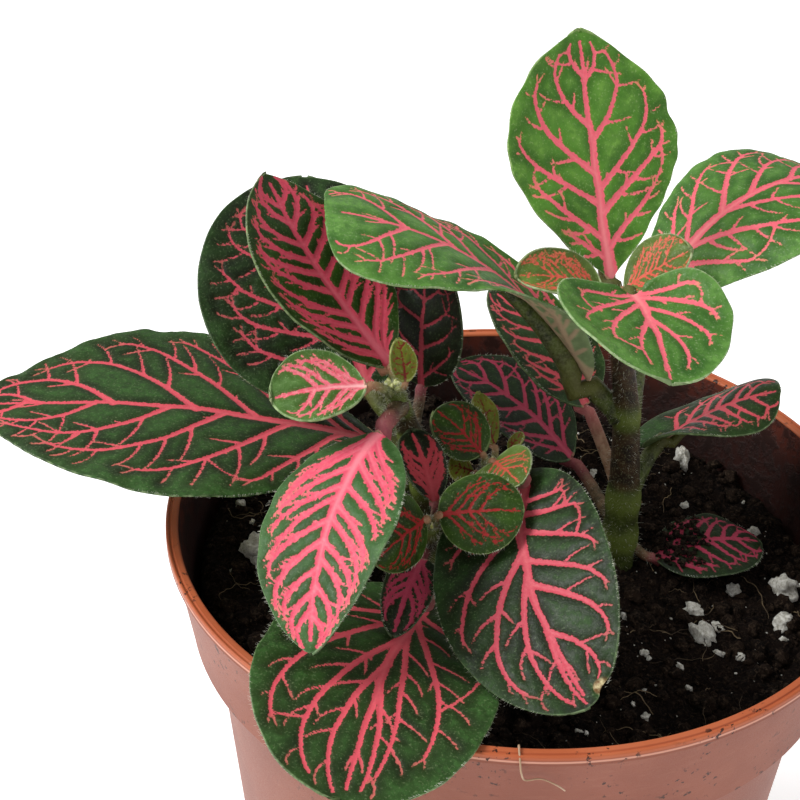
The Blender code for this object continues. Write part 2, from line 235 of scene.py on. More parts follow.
# Living leaf tissue of a fittonia: a green upper skin of tiny domed cells with a satin gloss, their fine
# sparkle painted into the colour as pale glints, with coral to crimson veins that fade to thin threads, and
# a pale thin margin.
leafTones = ("dark", "green", "light", "vein", "core", "thin", "under", "margin")
# The looks shaded, shadedRed and shadow are darker copies of the leaf colours with painted shade, for leaves
# that lie in shadow under others; bright and sunny are lighter copies with painted light, for leaves that
# the light falls on.
leafLooks = {
    "mature": "1c2b10 294019 365a27 d9525f e56a72 b8705c 566a3e 9cb07e",
    "deep": "141f0b 1f3313 2c4a1e c94a5a dd6870 9c5a4c 4e6038 8ea577",
    "bright": "3a671c 52862a 6c9c3d ee6474 fb8c92 de9068 8aa45e c3d498",
    "sunny": "345f20 4b792d 659443 ea6474 f98e90 dc8f6c 84996a c4d0a8",
    "pink": "2c4c20 3c6230 557a45 e04f68 f2828f e57f76 7c7d58 9db38a",
    "crimson": "1b3208 27450e 3a5a1a cb4358 dd6878 c65a55 5c5a36 9fb07e",
    "shaded": "111b09 1a2b10 27401c a93650 c04f66 7a3a3c 424f33 788e66",
    "shadedRed": "0e1507 17230c 22370f b03a44 c24f58 8a3a34 424f33 70845e",
    "shadow": "080f05 0f1a08 1a280f 8c2f3a a0404a 6a2c2c 333f28 62764f",
    "youngDark": "1c2f07 28430c 3c5c14 8e1f1e b8363a 8a2a1c 4c5630 a9bb7e",
    "youngLight": "4a5f22 5f7a32 7c9850 cc5442 ea806a cf7a55 889462 ccd8ac",
    "youngPink": "3c5c20 517634 6c9250 e05a6c ffc4c4 ea8c80 929a70 bccf9c",
    "bud": "5c6514 7b8228 9ea244 6c1c12 7e2418 8a5a24 989c48 bcc27c",
}
haloStrength = 0.12  # how strongly the vein's colour bleeds into the green; below, the looks that differ
haloOf = dict(bright=0.1, sunny=0.1, crimson=0.1, youngLight=0.15, youngPink=0.15)
cellMm = 0.16  # the domed skin cells are 0.05 mm in life, drawn this coarse so that they show


def upperSkin(name, look):
    material, shader, add, coords = newMaterial("fittoniaLeafSkin_" + name, 0.5, Specular_IOR_Level=0.22)
    edge = add("Attribute", output="Fac", attribute_name="veinEdge")
    tone = add("Attribute", output="Fac", attribute_name="veinTone")
    rim = add("Attribute", output="Fac", attribute_name="rimDistance")
    rag = add("MapRange", add("TexNoise", coords, 1000 / 0.35, 2, 0.55), 0.2, 0.8, -0.1, 0.1)
    ragged = add("Math", edge, rag, **plus)
    inVein = add("MapRange", ragged, -0.04, 0.05, 1.0, 0.0)
    patches = add("MapRange", add("TexNoise", coords, 1000 / 5.0, 2, 0.55), 0.35, 0.65)
    mottle = add("MapRange", add("TexNoise", coords, 1000 / 0.7, 4, 0.55), 0.35, 0.7)
    green = add("Mix", patches, look["dark"], look["green"])
    island = add("Math", add("MapRange", edge, 0.25, 1.8), add("MapRange", mottle, 0, 1, 0.45, 1.0), **times)
    green = add("Mix", island, green, look["light"])
    cells = add("TexVoronoi", coords, 1000 / cellMm)
    # painted highlight: pale glints painted into the colour at the centres of the domed cells, in patches
    glintPatches = add("MapRange", mottle, 0.2, 1, 0, 0.16)
    paintedGlint = add("Math", add("MapRange", cells, 0.05, 0.3, 1.0, 0.0), glintPatches, **times)
    green = add("Mix", paintedGlint, green, "a9bf86")
    speckle = add("MapRange", add("TexNoise", coords, 1000 / 0.28, 2, 0.55), 0.55, 0.75, 0.0, 0.22)
    green = add("Mix", speckle, green, look["margin"])
    shade = add("MapRange", add("TexNoise", coords, 1000 / 1.1, 3, 0.55), 0.5, 0.72, 0.0, 0.45)
    green = add("Mix", shade, green, look["dark"])
    halo = add("MapRange", ragged, 0.0, 0.4, haloOf.get(name, haloStrength), 0.0)
    haloTint = add("Mix", 0.5, look["thin"], look["dark"])
    green = add("Mix", add("Math", halo, tone, **times), green, haloTint)
    streaks = add("MapRange", add("TexNoise", coords, 1000 / 0.5, 3, 0.55), 0.35, 0.75, 0.0, 0.6)
    depth = add("MapRange", edge, -0.75, -0.12, 1.0, 0.0)
    red = add("Mix", depth, look["vein"], look["core"])
    red = add("Mix", add("Math", streaks, 0.5, **times), red, look["core"])
    red = add("Mix", add("MapRange", tone, 0.2, 0.75), look["thin"], red)
    faint = add("Math", inVein, add("MapRange", tone, 0.0, 0.5, 0.35, 1.0), **times)
    skin = add("Mix", faint, green, red)
    uneven = add("MapRange", mottle, 0, 1, 0.4, 1.0)
    pale = add("Math", add("MapRange", rim, 0.02, 0.16, 0.6, 0.0), uneven, **times)
    skin = add("Mix", pale, skin, look["margin"])
    torn = add("Attribute", output="Fac", attribute_name="tornEdge")
    dried = add("Mix", mottle, "6b4a28", "d3c596")
    skin = add("Mix", add("MapRange", torn, 0.3, 0.75), skin, dried)
    height = add("Math", add("Math", cells, 0.5, **times), add("Math", mottle, 0.8, **times), **plus)
    height = add("Math", height, add("Math", add("MapRange", ragged, -0.1, 0.25), 1.2, **times), **plus)
    roughness = add("MapRange", mottle, 0, 1, 0.44, 0.6)
    relief = add("Bump", 0.55, 0.06 * mm, None, height)
    feed(shader, Base_Color=skin, Roughness=roughness, Normal=relief)
    return material


def lowerSkin(name, look):
    # the underside is paler and duller, with its veins raised and lighter
    title = "fittoniaLeafUnderside_" + name
    material, shader, add, coords = newMaterial(title, 0.65, Specular_IOR_Level=0.2)
    edge = add("Attribute", output="Fac", attribute_name="veinEdge")
    mottle = add("MapRange", add("TexNoise", coords, 1000 / 0.9, 4, 0.55), 0.3, 0.7)
    base = toLinear(look["under"])
    darker = (*(c * 0.72 for c in base[:3]), 1.0)
    skin = add("Mix", mottle, darker, base)
    pinkish = add("Mix", 0.35, "b5b491", look["vein"])
    skin = add("Mix", add("MapRange", edge, -0.1, 0.25, 0.6, 0.0), skin, pinkish)
    raised = add("MapRange", edge, -0.2, 0.3, 1.0, 0.0)
    height = add("Math", add("TexNoise", coords, 1000 / 0.25, 3, 0.55), raised, **plus)
    relief = add("Bump", 0.6, 0.08 * mm, None, height)
    feed(shader, Base_Color=skin, Normal=relief)
    return material


def stalkSkin(name, dark, light, blushHex):
    # soft ribbed green tissue, flushed with brown or pink where it is older
    material, shader, add, coords = newMaterial("hairyStalkTissue_" + name, 0.55, Specular_IOR_Level=0.25)
    flush = add("MapRange", add("TexNoise", coords, 1000 / 1.6, 3, 0.55), 0.35, 0.65)
    grain = add("MapRange", add("TexNoise", coords, 1000 / 0.3, 3, 0.55), 0.3, 0.7)
    skin = add("Mix", flush, dark, light)
    skin = add("Mix", add("Math", grain, 0.16, **times), skin, "b9bd92")
    blush = add("Attribute", output="Fac", attribute_name="stalkBlush")
    skin = add("Mix", add("Math", blush, 0.75, **times), skin, blushHex)
    relief = add("Bump", 0.5, 0.08 * mm, None, grain)
    feed(shader, Base_Color=skin, Normal=relief)
    return material


def hairSkin():
    # short clear plant hairs, which read as white fuzz
    material, shader, add, coords = newMaterial("clearPlantHair", 0.45)
    shade = add("Mix", add("TexNoise", coords, 1000 / 1.0, 2, 0.55), "c2c4ac", "f1f1e4")
    feed(shader, Base_Color=shade)
    return material


stalkSkins = {
    "green": stalkSkin("green", "1f280a", "465418", "5c5a2a"),
    "brown": stalkSkin("brown", "33200f", "6b5238", "a04a58"),
    "pink": stalkSkin("pink", "7a5540", "a8826a", "c0606a"),
    "pale": stalkSkin("pale", "56602f", "858c56", "a86a58"),
}
hairMaterial = hairSkin()
skins = {}
for name, tones in leafLooks.items():
    look = dict(zip(leafTones, tones.split()))
    skins[name] = (upperSkin(name, look), lowerSkin(name, look))

# Leaves. stem and height: where the stalk leaves its stem; base: start of the blade, in mm; aim: heading,
# pitch and roll in degrees; size: length and width in mm; bend: droop, sweep and twist over the length; cup:
# rise of the edges, and more of it near the base; full: fullness towards base and tip; edge: depth of the
# heart-shaped base, and how much wider the right side is. These values shape the CAD solids too. crinkle and
# wave: notches of the margin and ripple of the blade, in mm; thick: times the usual stalk; tear: place and
# size of a torn bit; left and right: each side vein's start and end along the leaf and its reach sideways.
usualLeaf = dict(
    edge=(0, 0), stalk="green", crinkle=0.12, wave=0.35, thick=1, tear=None, left=None, right=None,
)
leaves = {
    "right_leaf_upright": dict(
        height=105, base=(9.5, 6, 110), aim=(120, 62, 8), size=(30.5, 22), bend=(5, 5, -5), cup=(0.05, 0),
        full=(1.1, 0.85), look="bright", veins="netted", crinkle=0.45, wave=0.5,
        left=[(0.08, 0.2, 0.7), (0.16, 0.4, 0.78), (0.31, 0.58, 0.86), (0.43, 0.79, 0.76),
              (0.62, 0.9, 0.56), (0.82, 0.95, 0.4)],
        right=[(0.12, 0.34, 0.76), (0.27, 0.57, 0.83), (0.36, 0.73, 0.78), (0.56, 0.9, 0.6),
               (0.8, 0.95, 0.4)],
    ),
    "right_leaf_outer": dict(
        height=92, base=(16, 16, 104), aim=(30, 64, -6), size=(36, 25), bend=(100, 0, 0),
        cup=(-0.1, -0.1), full=(0.7, 0.45), edge=(0.05, 0.05), look="sunny", veins="netted",
        left=[(0.1, 0.3, 0.75), (0.17, 0.5, 0.8), (0.35, 0.72, 0.8), (0.48, 0.88, 0.62),
              (0.66, 0.95, 0.5)],
        right=[(0.08, 0.3, 0.8), (0.16, 0.66, 0.72), (0.36, 0.84, 0.46), (0.6, 0.95, 0.4)],
    ),
    "right_young_leaf_left": dict(
        height=109, base=(8, 2.4, 110.6), aim=(-164, 32, 20), size=(11, 7), bend=(35, -10, 10),
        cup=(0.35, 0), full=(0.5, 0.55), look="youngLight", veins="feathered", stalk="pale",
    ),
    "right_young_leaf_right": dict(
        height=109, base=(10.8, 3.2, 110.6), aim=(-8, 46, -26), size=(9.5, 8), bend=(15, 0, -5),
        cup=(0.25, 0), full=(0.6, 0.55), look="youngLight", veins="feathered", stalk="pale",
    ),
    "right_leaf_front": dict(
        height=104, base=(11.5, -4.2, 114), aim=(-70, 2, -2), size=(15.5, 20), bend=(25, 10, 20),
        cup=(0.15, 0.3), full=(0.3, 0.5), edge=(0.05, 0.1), look="sunny", veins="open", crinkle=0.35,
        wave=0.5,
        left=[(0.02, 0.14, 0.8), (0.05, 0.42, 0.8), (0.2, 0.62, 0.7), (0.36, 0.82, 0.4)],
        right=[(0.02, 0.1, 0.75), (0.05, 0.44, 0.76), (0.14, 0.6, 0.56), (0.34, 0.82, 0.32)],
    ),
    "right_leaf_arching": dict(
        height=92, base=(8, 5, 96), aim=(168, 60, -26), size=(42, 24), bend=(55, -5, 10), cup=(-0.1, 1.6),
        full=(1.1, 0.25), edge=(0, -0.15), look="sunny", veins="netted",
    ),
    "right_leaf_low_left": dict(
        height=80, base=(8, 12.5, 88), aim=(134, 48, -6), size=(20.5, 14.5), bend=(35, -10, -5),
        cup=(0.1, 0), full=(0.5, 0.6), look="mature", veins="open", stalk="pink",
    ),
    "right_leaf_low_right": dict(
        height=79, base=(19, 11, 85), aim=(30, 26, 36), size=(16, 15), bend=(20, 30, -25),
        cup=(-0.2, 0.7), full=(0.35, 0.4), edge=(0.25, 0.05), look="mature", veins="open", thick=1.5,
    ),
    "right_leaf_behind": dict(
        height=74, base=(7, 20.5, 74), aim=(162, 48, 4), size=(21.5, 16), bend=(40, 0, 0), cup=(0.1, 0),
        full=(0.6, 0.65), look="shaded", veins="open", stalk="brown",
    ),
    "right_leaf_on_soil": dict(
        height=73, base=(18.5, 3, 71), aim=(16, 26, -4), size=(15.5, 12), bend=(50, 0, 0), cup=(-0.05, 0),
        full=(0.55, 0.6), edge=(0, 0.1), look="shaded", veins="open", stalk="brown",
    ),
    "left_leaf_long": dict(
        height=83.5, base=(-17.5, 3.5, 85.5), aim=(-162, 24, 4), size=(54, 36), bend=(30, 10, 0),
        cup=(0, 0), full=(1.05, 1), look="mature", veins="broad", crinkle=0.25,
        left=[(0.03, 0.22, 0.85), (0.11, 0.36, 0.85), (0.24, 0.6, 0.78), (0.4, 0.79, 0.74),
              (0.53, 0.88, 0.62), (0.7, 0.95, 0.55), (0.86, 0.98, 0.5)],
        right=[(0.03, 0.2, 0.85), (0.1, 0.3, 0.84), (0.21, 0.5, 0.84), (0.33, 0.66, 0.83),
               (0.47, 0.81, 0.74), (0.66, 0.93, 0.62), (0.84, 0.98, 0.5)],
    ),
    "left_leaf_back": dict(
        height=91, base=(-19.5, 3, 94), aim=(132, 42, 18), size=(32, 31), bend=(20, 20, -5),
        cup=(0.05, 0), full=(0.45, 0.55), edge=(0, -0.1), look="deep", veins="open",
    ),
    "left_leaf_upright": dict(
        height=98, base=(-16.2, -3.6, 102), aim=(162, 42, 14), size=(28, 18.5), bend=(5, 25, -10),
        cup=(0.1, 0.1), full=(0.8, 0.75), look="crimson", veins="dense", stalk="pale",
    ),
    "left_young_leaf": dict(
        height=100, base=(-18.6, -11.3, 103.5), aim=(-164, 6, 12), size=(11, 10), bend=(20, -5, 15),
        cup=(0.25, 0), full=(0.6, 0.55), look="youngPink", veins="wideFan", stalk="pale", crinkle=0.3,
    ),
    "left_bud_leaf": dict(
        height=100, base=(-14.2, -8.1, 102.6), aim=(118, 80, 10), size=(5, 3.2), bend=(25, -10, 0),
        cup=(0.15, 0), full=(0.45, 0.6), look="bud", veins="bud", stalk="pale",
    ),
    "left_leaf_pink": dict(
        height=97, base=(-16.4, -14.5, 99.7), aim=(-116, -10, -4), size=(29, 16), bend=(35, -28, -12),
        cup=(0.1, -0.4), full=(0.65, 0.75), look="pink", veins="dense", stalk="brown",
    ),
    "left_leaf_dark": dict(
        height=91, base=(-13.2, 2.8, 95.2), aim=(76, 98, 6), size=(16.5, 11.5), bend=(40, -10, 10),
        cup=(0.1, 0), full=(0.6, 0.55), edge=(0, 0.05), look="shadow", veins="sparse", stalk="brown",
    ),
    "middle_leaf_back": dict(
        height=86, base=(-9.8, -13.7, 89.4), aim=(112, 40, 0), size=(10.2, 5.5), bend=(30, -5, 0),
        cup=(0.1, 0), full=(0.65, 0.5), look="shadedRed", veins="wideFan", stalk="brown",
    ),
    "middle_leaf_front": dict(
        height=79.5, base=(-10.9, -17.4, 83.7), aim=(-101, 4, 6), size=(12.5, 6), bend=(25, -5, 5),
        cup=(0.15, 0), full=(0.45, 0.6), look="shaded", veins="wideFan", stalk="brown",
    ),
    "middle_young_leaf_right": dict(
        height=88, base=(-8.6, -18.1, 90.9), aim=(6, 12, -28), size=(9.5, 10.5), bend=(10, 10, 0),
        cup=(-0.1, 0), full=(0.45, 0.5), edge=(0.05, 0), look="youngDark", veins="fan", stalk="pale",
    ),
    "middle_young_leaf_left": dict(
        height=88, base=(-10.6, -19.1, 90.6), aim=(-116, 12, 60), size=(10, 9), bend=(15, -15, 5),
        cup=(-0.15, 0), full=(0.4, 0.55), edge=(0.05, 0.1), look="youngDark", veins="fan", stalk="pale",
    ),
    "middle_leaf_over_rim": dict(
        height=75, base=(-10.5, -21, 78.6), aim=(-104, 18, 6), size=(34, 27), bend=(27, -15, 0),
        cup=(0.05, 0), full=(0.5, 0.5), edge=(0.15, 0.03), look="mature", veins="broad", stalk="pink",
        crinkle=0.3,
        left=[(0.02, 0.3, 0.86), (0.04, 0.78, 0.64), (0.13, 0.88, 0.3), (0.5, 0.95, 0.22)],
        right=[(0.015, 0.33, 0.88), (0.04, 0.76, 0.84), (0.24, 0.93, 0.58), (0.4, 0.97, 0.3)],
    ),
    "inner_young_leaf_left": dict(
        height=88, base=(-4.9, -2.8, 89.4), aim=(162, 46, 20), size=(8, 8), bend=(20, -5, 0), cup=(0, 0),
        full=(0.45, 0.5), edge=(0, 0.05), look="youngDark", veins="fan", stalk="pale",
    ),
    "inner_young_leaf_right": dict(
        height=88, base=(-3.2, -6.3, 90.7), aim=(-66, 22, -28), size=(8, 7.5), bend=(15, 5, 0),
        cup=(0.1, 0), full=(0.35, 0.55), edge=(0.05, 0), look="youngLight", veins="fan", stalk="pale",
    ),
    "inner_bud_leaf_back": dict(
        height=85, base=(-3.5, 1.5, 88), aim=(124, 54, -10), size=(7, 4), bend=(20, 10, 0), cup=(0.05, 0),
        full=(0.6, 0.5), look="bud", veins="bud", stalk="pale",
    ),
    "inner_bud_leaf_left": dict(
        height=84, base=(-5.8, -2, 86), aim=(-160, 30, 34), size=(3.6, 4), bend=(20, 0, 5), cup=(0.05, 0),
        full=(0.6, 0.5), look="bud", veins="bud", stalk="pale",
    ),
    "inner_bud_leaf_right": dict(
        height=84, base=(-1.6, 1, 87.5), aim=(34, 68, -4), size=(3, 2), bend=(30, 5, 0), cup=(0.05, 0),
        full=(0.55, 0.55), look="bud", veins="bud", stalk="pale",
    ),
    "inner_leaf_large": dict(
        height=84, base=(0.5, -11.2, 90.6), aim=(-94, -11, -22), size=(31, 21), bend=(24, -36, -5),
        cup=(0.1, 0), full=(0.45, 0.55), edge=(0.1, 0.05), look="deep", veins="broad", stalk="pink",
        tear=(0.97, -0.88, 1.1),
        left=[(0.07, 0.1, 0.75), (0.14, 0.2, 0.8), (0.22, 0.42, 0.85), (0.36, 0.6, 0.85),
              (0.47, 0.79, 0.8), (0.68, 0.94, 0.6)],
        right=[(0.05, 0.3, 0.8), (0.18, 0.6, 0.86), (0.32, 0.84, 0.74), (0.43, 0.95, 0.42),
               (0.7, 0.98, 0.14)],
    ),
}
# the record's slot of each look; every other look is a mature leaf
lookSlots = dict(
    pink="pink_leaf", crimson="pink_leaf", shaded="shaded_leaf", shadedRed="shaded_leaf",
    shadow="shaded_leaf", youngDark="young_leaf", youngLight="young_leaf", youngPink="young_leaf",
    bud="bud_leaf",
)
for name, leaf in leaves.items():
    leaves[name] = {**usualLeaf, "stem": name.split("_")[0] + "_stem", **leaf}

# Vein habits. pairs: side veins a side; first and last: where they leave the midrib; rise: how far they run
# on towards the tip; reach: how near they come to the margin; midrib and side: widths in mm; outer and
# inner: mm between the branches of a side vein towards the margin and towards the tip; turn: their least
# and greatest angle in radians; spurs: short ragged stubs per mm; loops: share of the side veins joined.
veinHabits = {
    "open": dict(pairs=6, first=0.05, last=0.74, rise=0.3, reach=0.8, midrib=1.3, side=0.78, outer=3,
        inner=7.5, turn=(0.75, 1.15), spurs=0.1, loops=0.4),
    "sparse": dict(pairs=4, first=0.1, last=0.7, rise=0.25, reach=0.75, midrib=0.8, side=0.45, outer=5,
        inner=9, turn=(0.75, 1.15), spurs=0, loops=0.5),
    "broad": dict(pairs=5, first=0.03, last=0.66, rise=0.32, reach=0.82, midrib=1.45, side=0.9, outer=4.4,
        inner=12, turn=(0.7, 1.05), spurs=0.05, loops=0.3),
    "netted": dict(pairs=6, first=0.06, last=0.78, rise=0.28, reach=0.82, midrib=1.5, side=0.86,
        outer=3.2, inner=7.5, turn=(0.8, 1.2), spurs=0.08, loops=0.4),
    "dense": dict(pairs=10, first=0.015, last=0.84, rise=0.3, reach=0.82, midrib=1.8, side=1, outer=1.7,
        inner=2.2, turn=(0.35, 0.7), spurs=0.5, loops=0),
    "fan": dict(pairs=4, first=0.012, last=0.45, rise=0.5, reach=0.76, midrib=0.5, side=0.32, outer=1.8,
        inner=3, turn=(0.45, 0.8), spurs=0.3, loops=0),
    "feathered": dict(pairs=7, first=0.01, last=0.6, rise=0.42, reach=0.82, midrib=0.42, side=0.26,
        outer=0.9, inner=1.2, turn=(0.3, 0.6), spurs=0.6, loops=0),
    "wideFan": dict(pairs=4, first=0.01, last=0.5, rise=0.46, reach=0.8, midrib=1.2, side=0.7, outer=1.8,
        inner=4, turn=(0.45, 0.8), spurs=0.2, loops=0),
    "bud": dict(pairs=4, first=0.1, last=0.75, rise=0.24, reach=0.7, midrib=0.32, side=0.17, outer=2,
        inner=9, turn=(0.5, 0.9), spurs=0, loops=0),
}
midribSteps = 24
veinSteps, twigSteps = 32, 11  # points along a side vein and along a branch
sampleMm = 0.09  # spacing of the vein points that distances are measured to
rimSteps = 240  # points on each side of the margin
bladeThickness = 0.26  # mm, as are the next values
gridMm = 0.212  # cell of a blade's mesh, finer on a small leaf
quiltDepth = 0.2  # how far the green swells between veins
leafHair, stemHair = 0.018, 0.022  # radius of a hair, in mm
hairRoot = 0.12  # length of a margin hair that is sunk in the blade, in mm


def fullness(leaf, part):
    fore, aft = leaf["full"]
    widest = fore / (fore + aft)
    part = np.clip(part, 0, 1)
    return part**fore * (1 - part) ** aft / (widest**fore * (1 - widest) ** aft)


def midribFrames(leaf):
    # places and forward, right and up directions at even steps along the midrib
    heading, pitch, roll = np.radians(leaf["aim"])
    droop, sweep, twist = np.radians(leaf["bend"])
    level = math.cos(pitch)
    forward = np.array([level * math.cos(heading), level * math.sin(heading), math.sin(pitch)])
    side = np.array([math.sin(heading), -math.cos(heading), 0.0])
    right = math.cos(roll) * side + math.sin(roll) * np.cross(side, forward)
    up = np.cross(right, forward)
    part = np.linspace(0, 1, midribSteps + 1)[:, None]
    droop, sweep, twist = droop * part, sweep * part, twist * part
    ahead = np.cos(droop) * (np.cos(sweep) * forward + np.sin(sweep) * right) - np.sin(droop) * up
    steps = (ahead[1:] + ahead[:-1]) / 2 * leaf["size"][0] / midribSteps
    place = np.array(leaf["base"], float) + np.vstack([np.zeros(3), np.cumsum(steps, 0)])
    across = np.cos(sweep) * right - np.sin(sweep) * forward
    across = unit(across - (across * ahead).sum(1, keepdims=True) * ahead)
    above = np.cross(across, ahead)
    turned = np.cos(twist) * across + np.sin(twist) * above
    return place, ahead, turned, np.cross(turned, ahead)


def bladePoints(leaf, frames, part, side):
    # points of the blade's middle surface: part runs from base to tip, side from -1 left to 1 right
    place = np.clip(part, 0, 1) * midribSteps
    low = np.minimum(place.astype(int), midribSteps - 1)
    share = (place - low)[:, None]
    middle, forward, right, up = (values[low] * (1 - share) + values[low + 1] * share for values in frames)
    _, reach, back = flatPoints(leaf, part, side)
    cup, fold = leaf["cup"]
    rise = (cup + fold * (1 - part) ** 3) * reach * side**2
    return middle + right * (reach * side)[:, None] + up * rise[:, None] - forward * back[:, None]


def flatPoints(leaf, part, side):
    # the same points on the blade pressed flat, in mm along and across the midrib
    lobe, skew = leaf["edge"]
    length, width = leaf["size"]
    reach = width / 2 * fullness(leaf, part) * (1 + skew * side)
    back = lobe * length * (1 - part) ** 3 * side**2
    return np.stack([part * length - back, reach * side], 1), reach, back


def veinLines(leaf, habit, rng):
    # every vein as its order and rows of part, side, half width and tone
    lines = []
    parts = np.linspace(0.0, 0.95, 50)
    wander = 0.03 * noiseRow(parts * 6, rng.seedPlace)
    half = habit["midrib"] / 2 * (1 - 0.78 * parts) * (1 + 0.25 * np.exp(-parts * 7))
    lines.append((0, np.stack([parts, wander, half, 1 - 0.25 * parts**3], 1)))
    for sign, given in ((-1, leaf["left"]), (1, leaf["right"])):
        spread = np.linspace(habit["first"], habit["last"], habit["pairs"])
        step = spread[1] - spread[0]
        plan = given or [
            (
                max(begin + rng.uniform(-0.25, 0.25) * step, 0.012),
                min(begin + habit["rise"] * rng.uniform(0.85, 1.15) * (1 - 0.35 * begin), 0.975),
                habit["reach"] * rng.uniform(0.93, 1.03) * (1 - 0.25 * max(begin - 0.55, 0) / 0.4),
            )
            for begin in spread
        ]
        sides = []
        for begin, end, reach in plan:
            t = np.linspace(0, 1, veinSteps)
            shake = rng.uniform(0, 50)
            across = abs(reach) * (1 - (1 - t) ** 1.4) + 0.035 * noiseRow(t * 4, shake) * t
            along = begin + (end - begin) * (0.85 * t + 0.15 * t**2) + 0.012 * noiseRow(t * 5, shake + 9) * t
            size = habit["side"] / 2 * rng.uniform(0.88, 1.1) * (1 - 0.3 * begin)
            uneven = 1 + 0.06 * noiseRow(t * 22, shake)
            half = size * (1 - 0.55 * t**1.3) * uneven + 0.4 * size * np.exp(-t * 16)
            tone = 1 - 0.35 * t**2
            sides.append(np.stack([along, sign * np.abs(across), half, tone], 1))
        lines += [(1, path) for path in sides]
        lines += forkLines(leaf, habit, sides, sign, rng)
        lines += loopLines(habit, sides, sign, rng)
    tip = lines[0][1][-8]
    for sign in (-1, 1):
        way = turnedBy(np.array([1.0, 0.0]), sign * rng.uniform(0.4, 0.7))
        lines.append((2, twig(tip, way, leaf["size"][0] * 0.08, -sign * 0.4, tip[2] * 0.8, 0.8, leaf)))
    return lines


def noiseRow(values, seed):
    return np.array([noise.noise(Vector((value, seed, 0.37))) for value in values])


def turnedBy(way, angle):
    cos, sin = math.cos(angle), math.sin(angle)
    return np.array([way[0] * cos - way[1] * sin, way[0] * sin + way[1] * cos])


def forkLines(leaf, habit, sides, sign, rng):
    # branches of the side veins: outwards to the margin, inwards to the next vein, and feathered spurs
    length, width = leaf["size"]
    gap = length * (habit["last"] - habit["first"]) / max(habit["pairs"] - 1, 1)
    made = []

    def heading(path, index):
        step = (path[index] - path[max(index - 2, 0)])[:2]
        part = np.array(path[index][0])
        step = step * np.array([length, max(width / 2 * float(fullness(leaf, part)), 0.5)])
        return step / max(np.linalg.norm(step), 1e-6)

    for path in sides:
        run = flatPoints(leaf, path[:, 0], path[:, 1])[0]
        reach = np.linalg.norm(np.diff(run, axis=0), axis=1).sum()
        least, most = habit["turn"]
        for outwards, spacing in ((True, habit["outer"]), (False, habit["inner"])):
            amount = int(reach * 0.82 / spacing + rng.random())
            for index in range(amount):
                t = 0.16 + 0.8 * (index + rng.uniform(0.25, 0.85)) / amount
                spot = min(int(t * (veinSteps - 1)), veinSteps - 2)
                part = np.array(path[spot][0])
                room = max(0.89 - abs(path[spot][1]), 0.05) * width / 2 * float(fullness(leaf, part))
                turn = rng.uniform(least, most) * (1 if outwards else -0.95)
                if outwards:
                    span = min(gap * rng.uniform(0.75, 1.0), room * 1.15 + 0.4)
                    curl = -sign * rng.uniform(0.2, 0.9)
                else:
                    span = gap * rng.uniform(0.3, 0.6)
                    curl = sign * rng.uniform(0.0, 0.4)
                half = path[spot][2] * rng.uniform(0.52, 0.7) + 0.02
                way = turnedBy(heading(path, spot), sign * turn)
                made.append((2, twig(path[spot], way, span, curl * most, half, 0.85 * path[spot][3], leaf)))
        last = path[-1]
        if last[0] < 0.9:
            # the vein ends in a fork
            for turn in (-0.4, 0.45):
                way = turnedBy(heading(path, veinSteps - 1), turn * rng.uniform(0.7, 1.3))
                made.append((2, twig(last, way, gap * 0.28, 0, last[2] * 0.85, last[3] * 0.85, leaf)))
        for _ in range(int(habit["spurs"] * reach)):
            spot = rng.randrange(3, veinSteps - 1)
            way = turnedBy(heading(path, spot), rng.choice((-1, 1)) * rng.uniform(least, most))
            span = path[spot][2] + rng.uniform(0.3, 0.8)
            made.append((2, twig(path[spot], way, span, 0, path[spot][2] * 0.6, 0.9 * path[spot][3], leaf)))
    return made


def twig(point, way, run, curl, half, tone, leaf):
    # a short tapering vein from a point, in the direction way on the pressed blade
    length, width = leaf["size"]
    rows = []
    part, side = point[0], point[1]
    for t in np.linspace(0, 1, twigSteps):
        thin = max(half * (1 - 0.6 * t), leaf["finest"]) * min(1, (1.05 - t) * 8)
        rows.append((part, side, thin, tone * (1 - 0.45 * t)))
        ahead = turnedBy(way, curl * t)
        reach = max(width / 2 * float(fullness(leaf, np.array(part))), 0.5)
        part = part + ahead[0] * run / (twigSteps - 1) / length
        side = side + ahead[1] * run / (twigSteps - 1) / reach
        if abs(side) > 0.9 or part < 0.004 or part > 0.975:
            break
    return np.array(rows)


def loopLines(habit, sides, sign, rng):
    # thin arches that join the ends of neighbouring side veins inside the margin
    made = []
    for lower, upper in zip(sides, sides[1:]):
        if rng.random() > habit["loops"] or upper[-1][0] < lower[-1][0]:
            continue
        start, target = lower[-1], upper[int((veinSteps - 1) * rng.uniform(0.6, 0.85))]
        t = np.linspace(0, 1, 14)
        along = start[0] + (target[0] - start[0]) * t
        across = start[1] + (target[1] - start[1]) * t + sign * 0.05 * np.sin(math.pi * t)
        half = start[2] * 0.5 + 0.04 + 0.08 * np.abs(1 - 2 * t)
        made.append((2, np.stack([along, across, half, np.full(14, 0.62)], 1)))
    return made


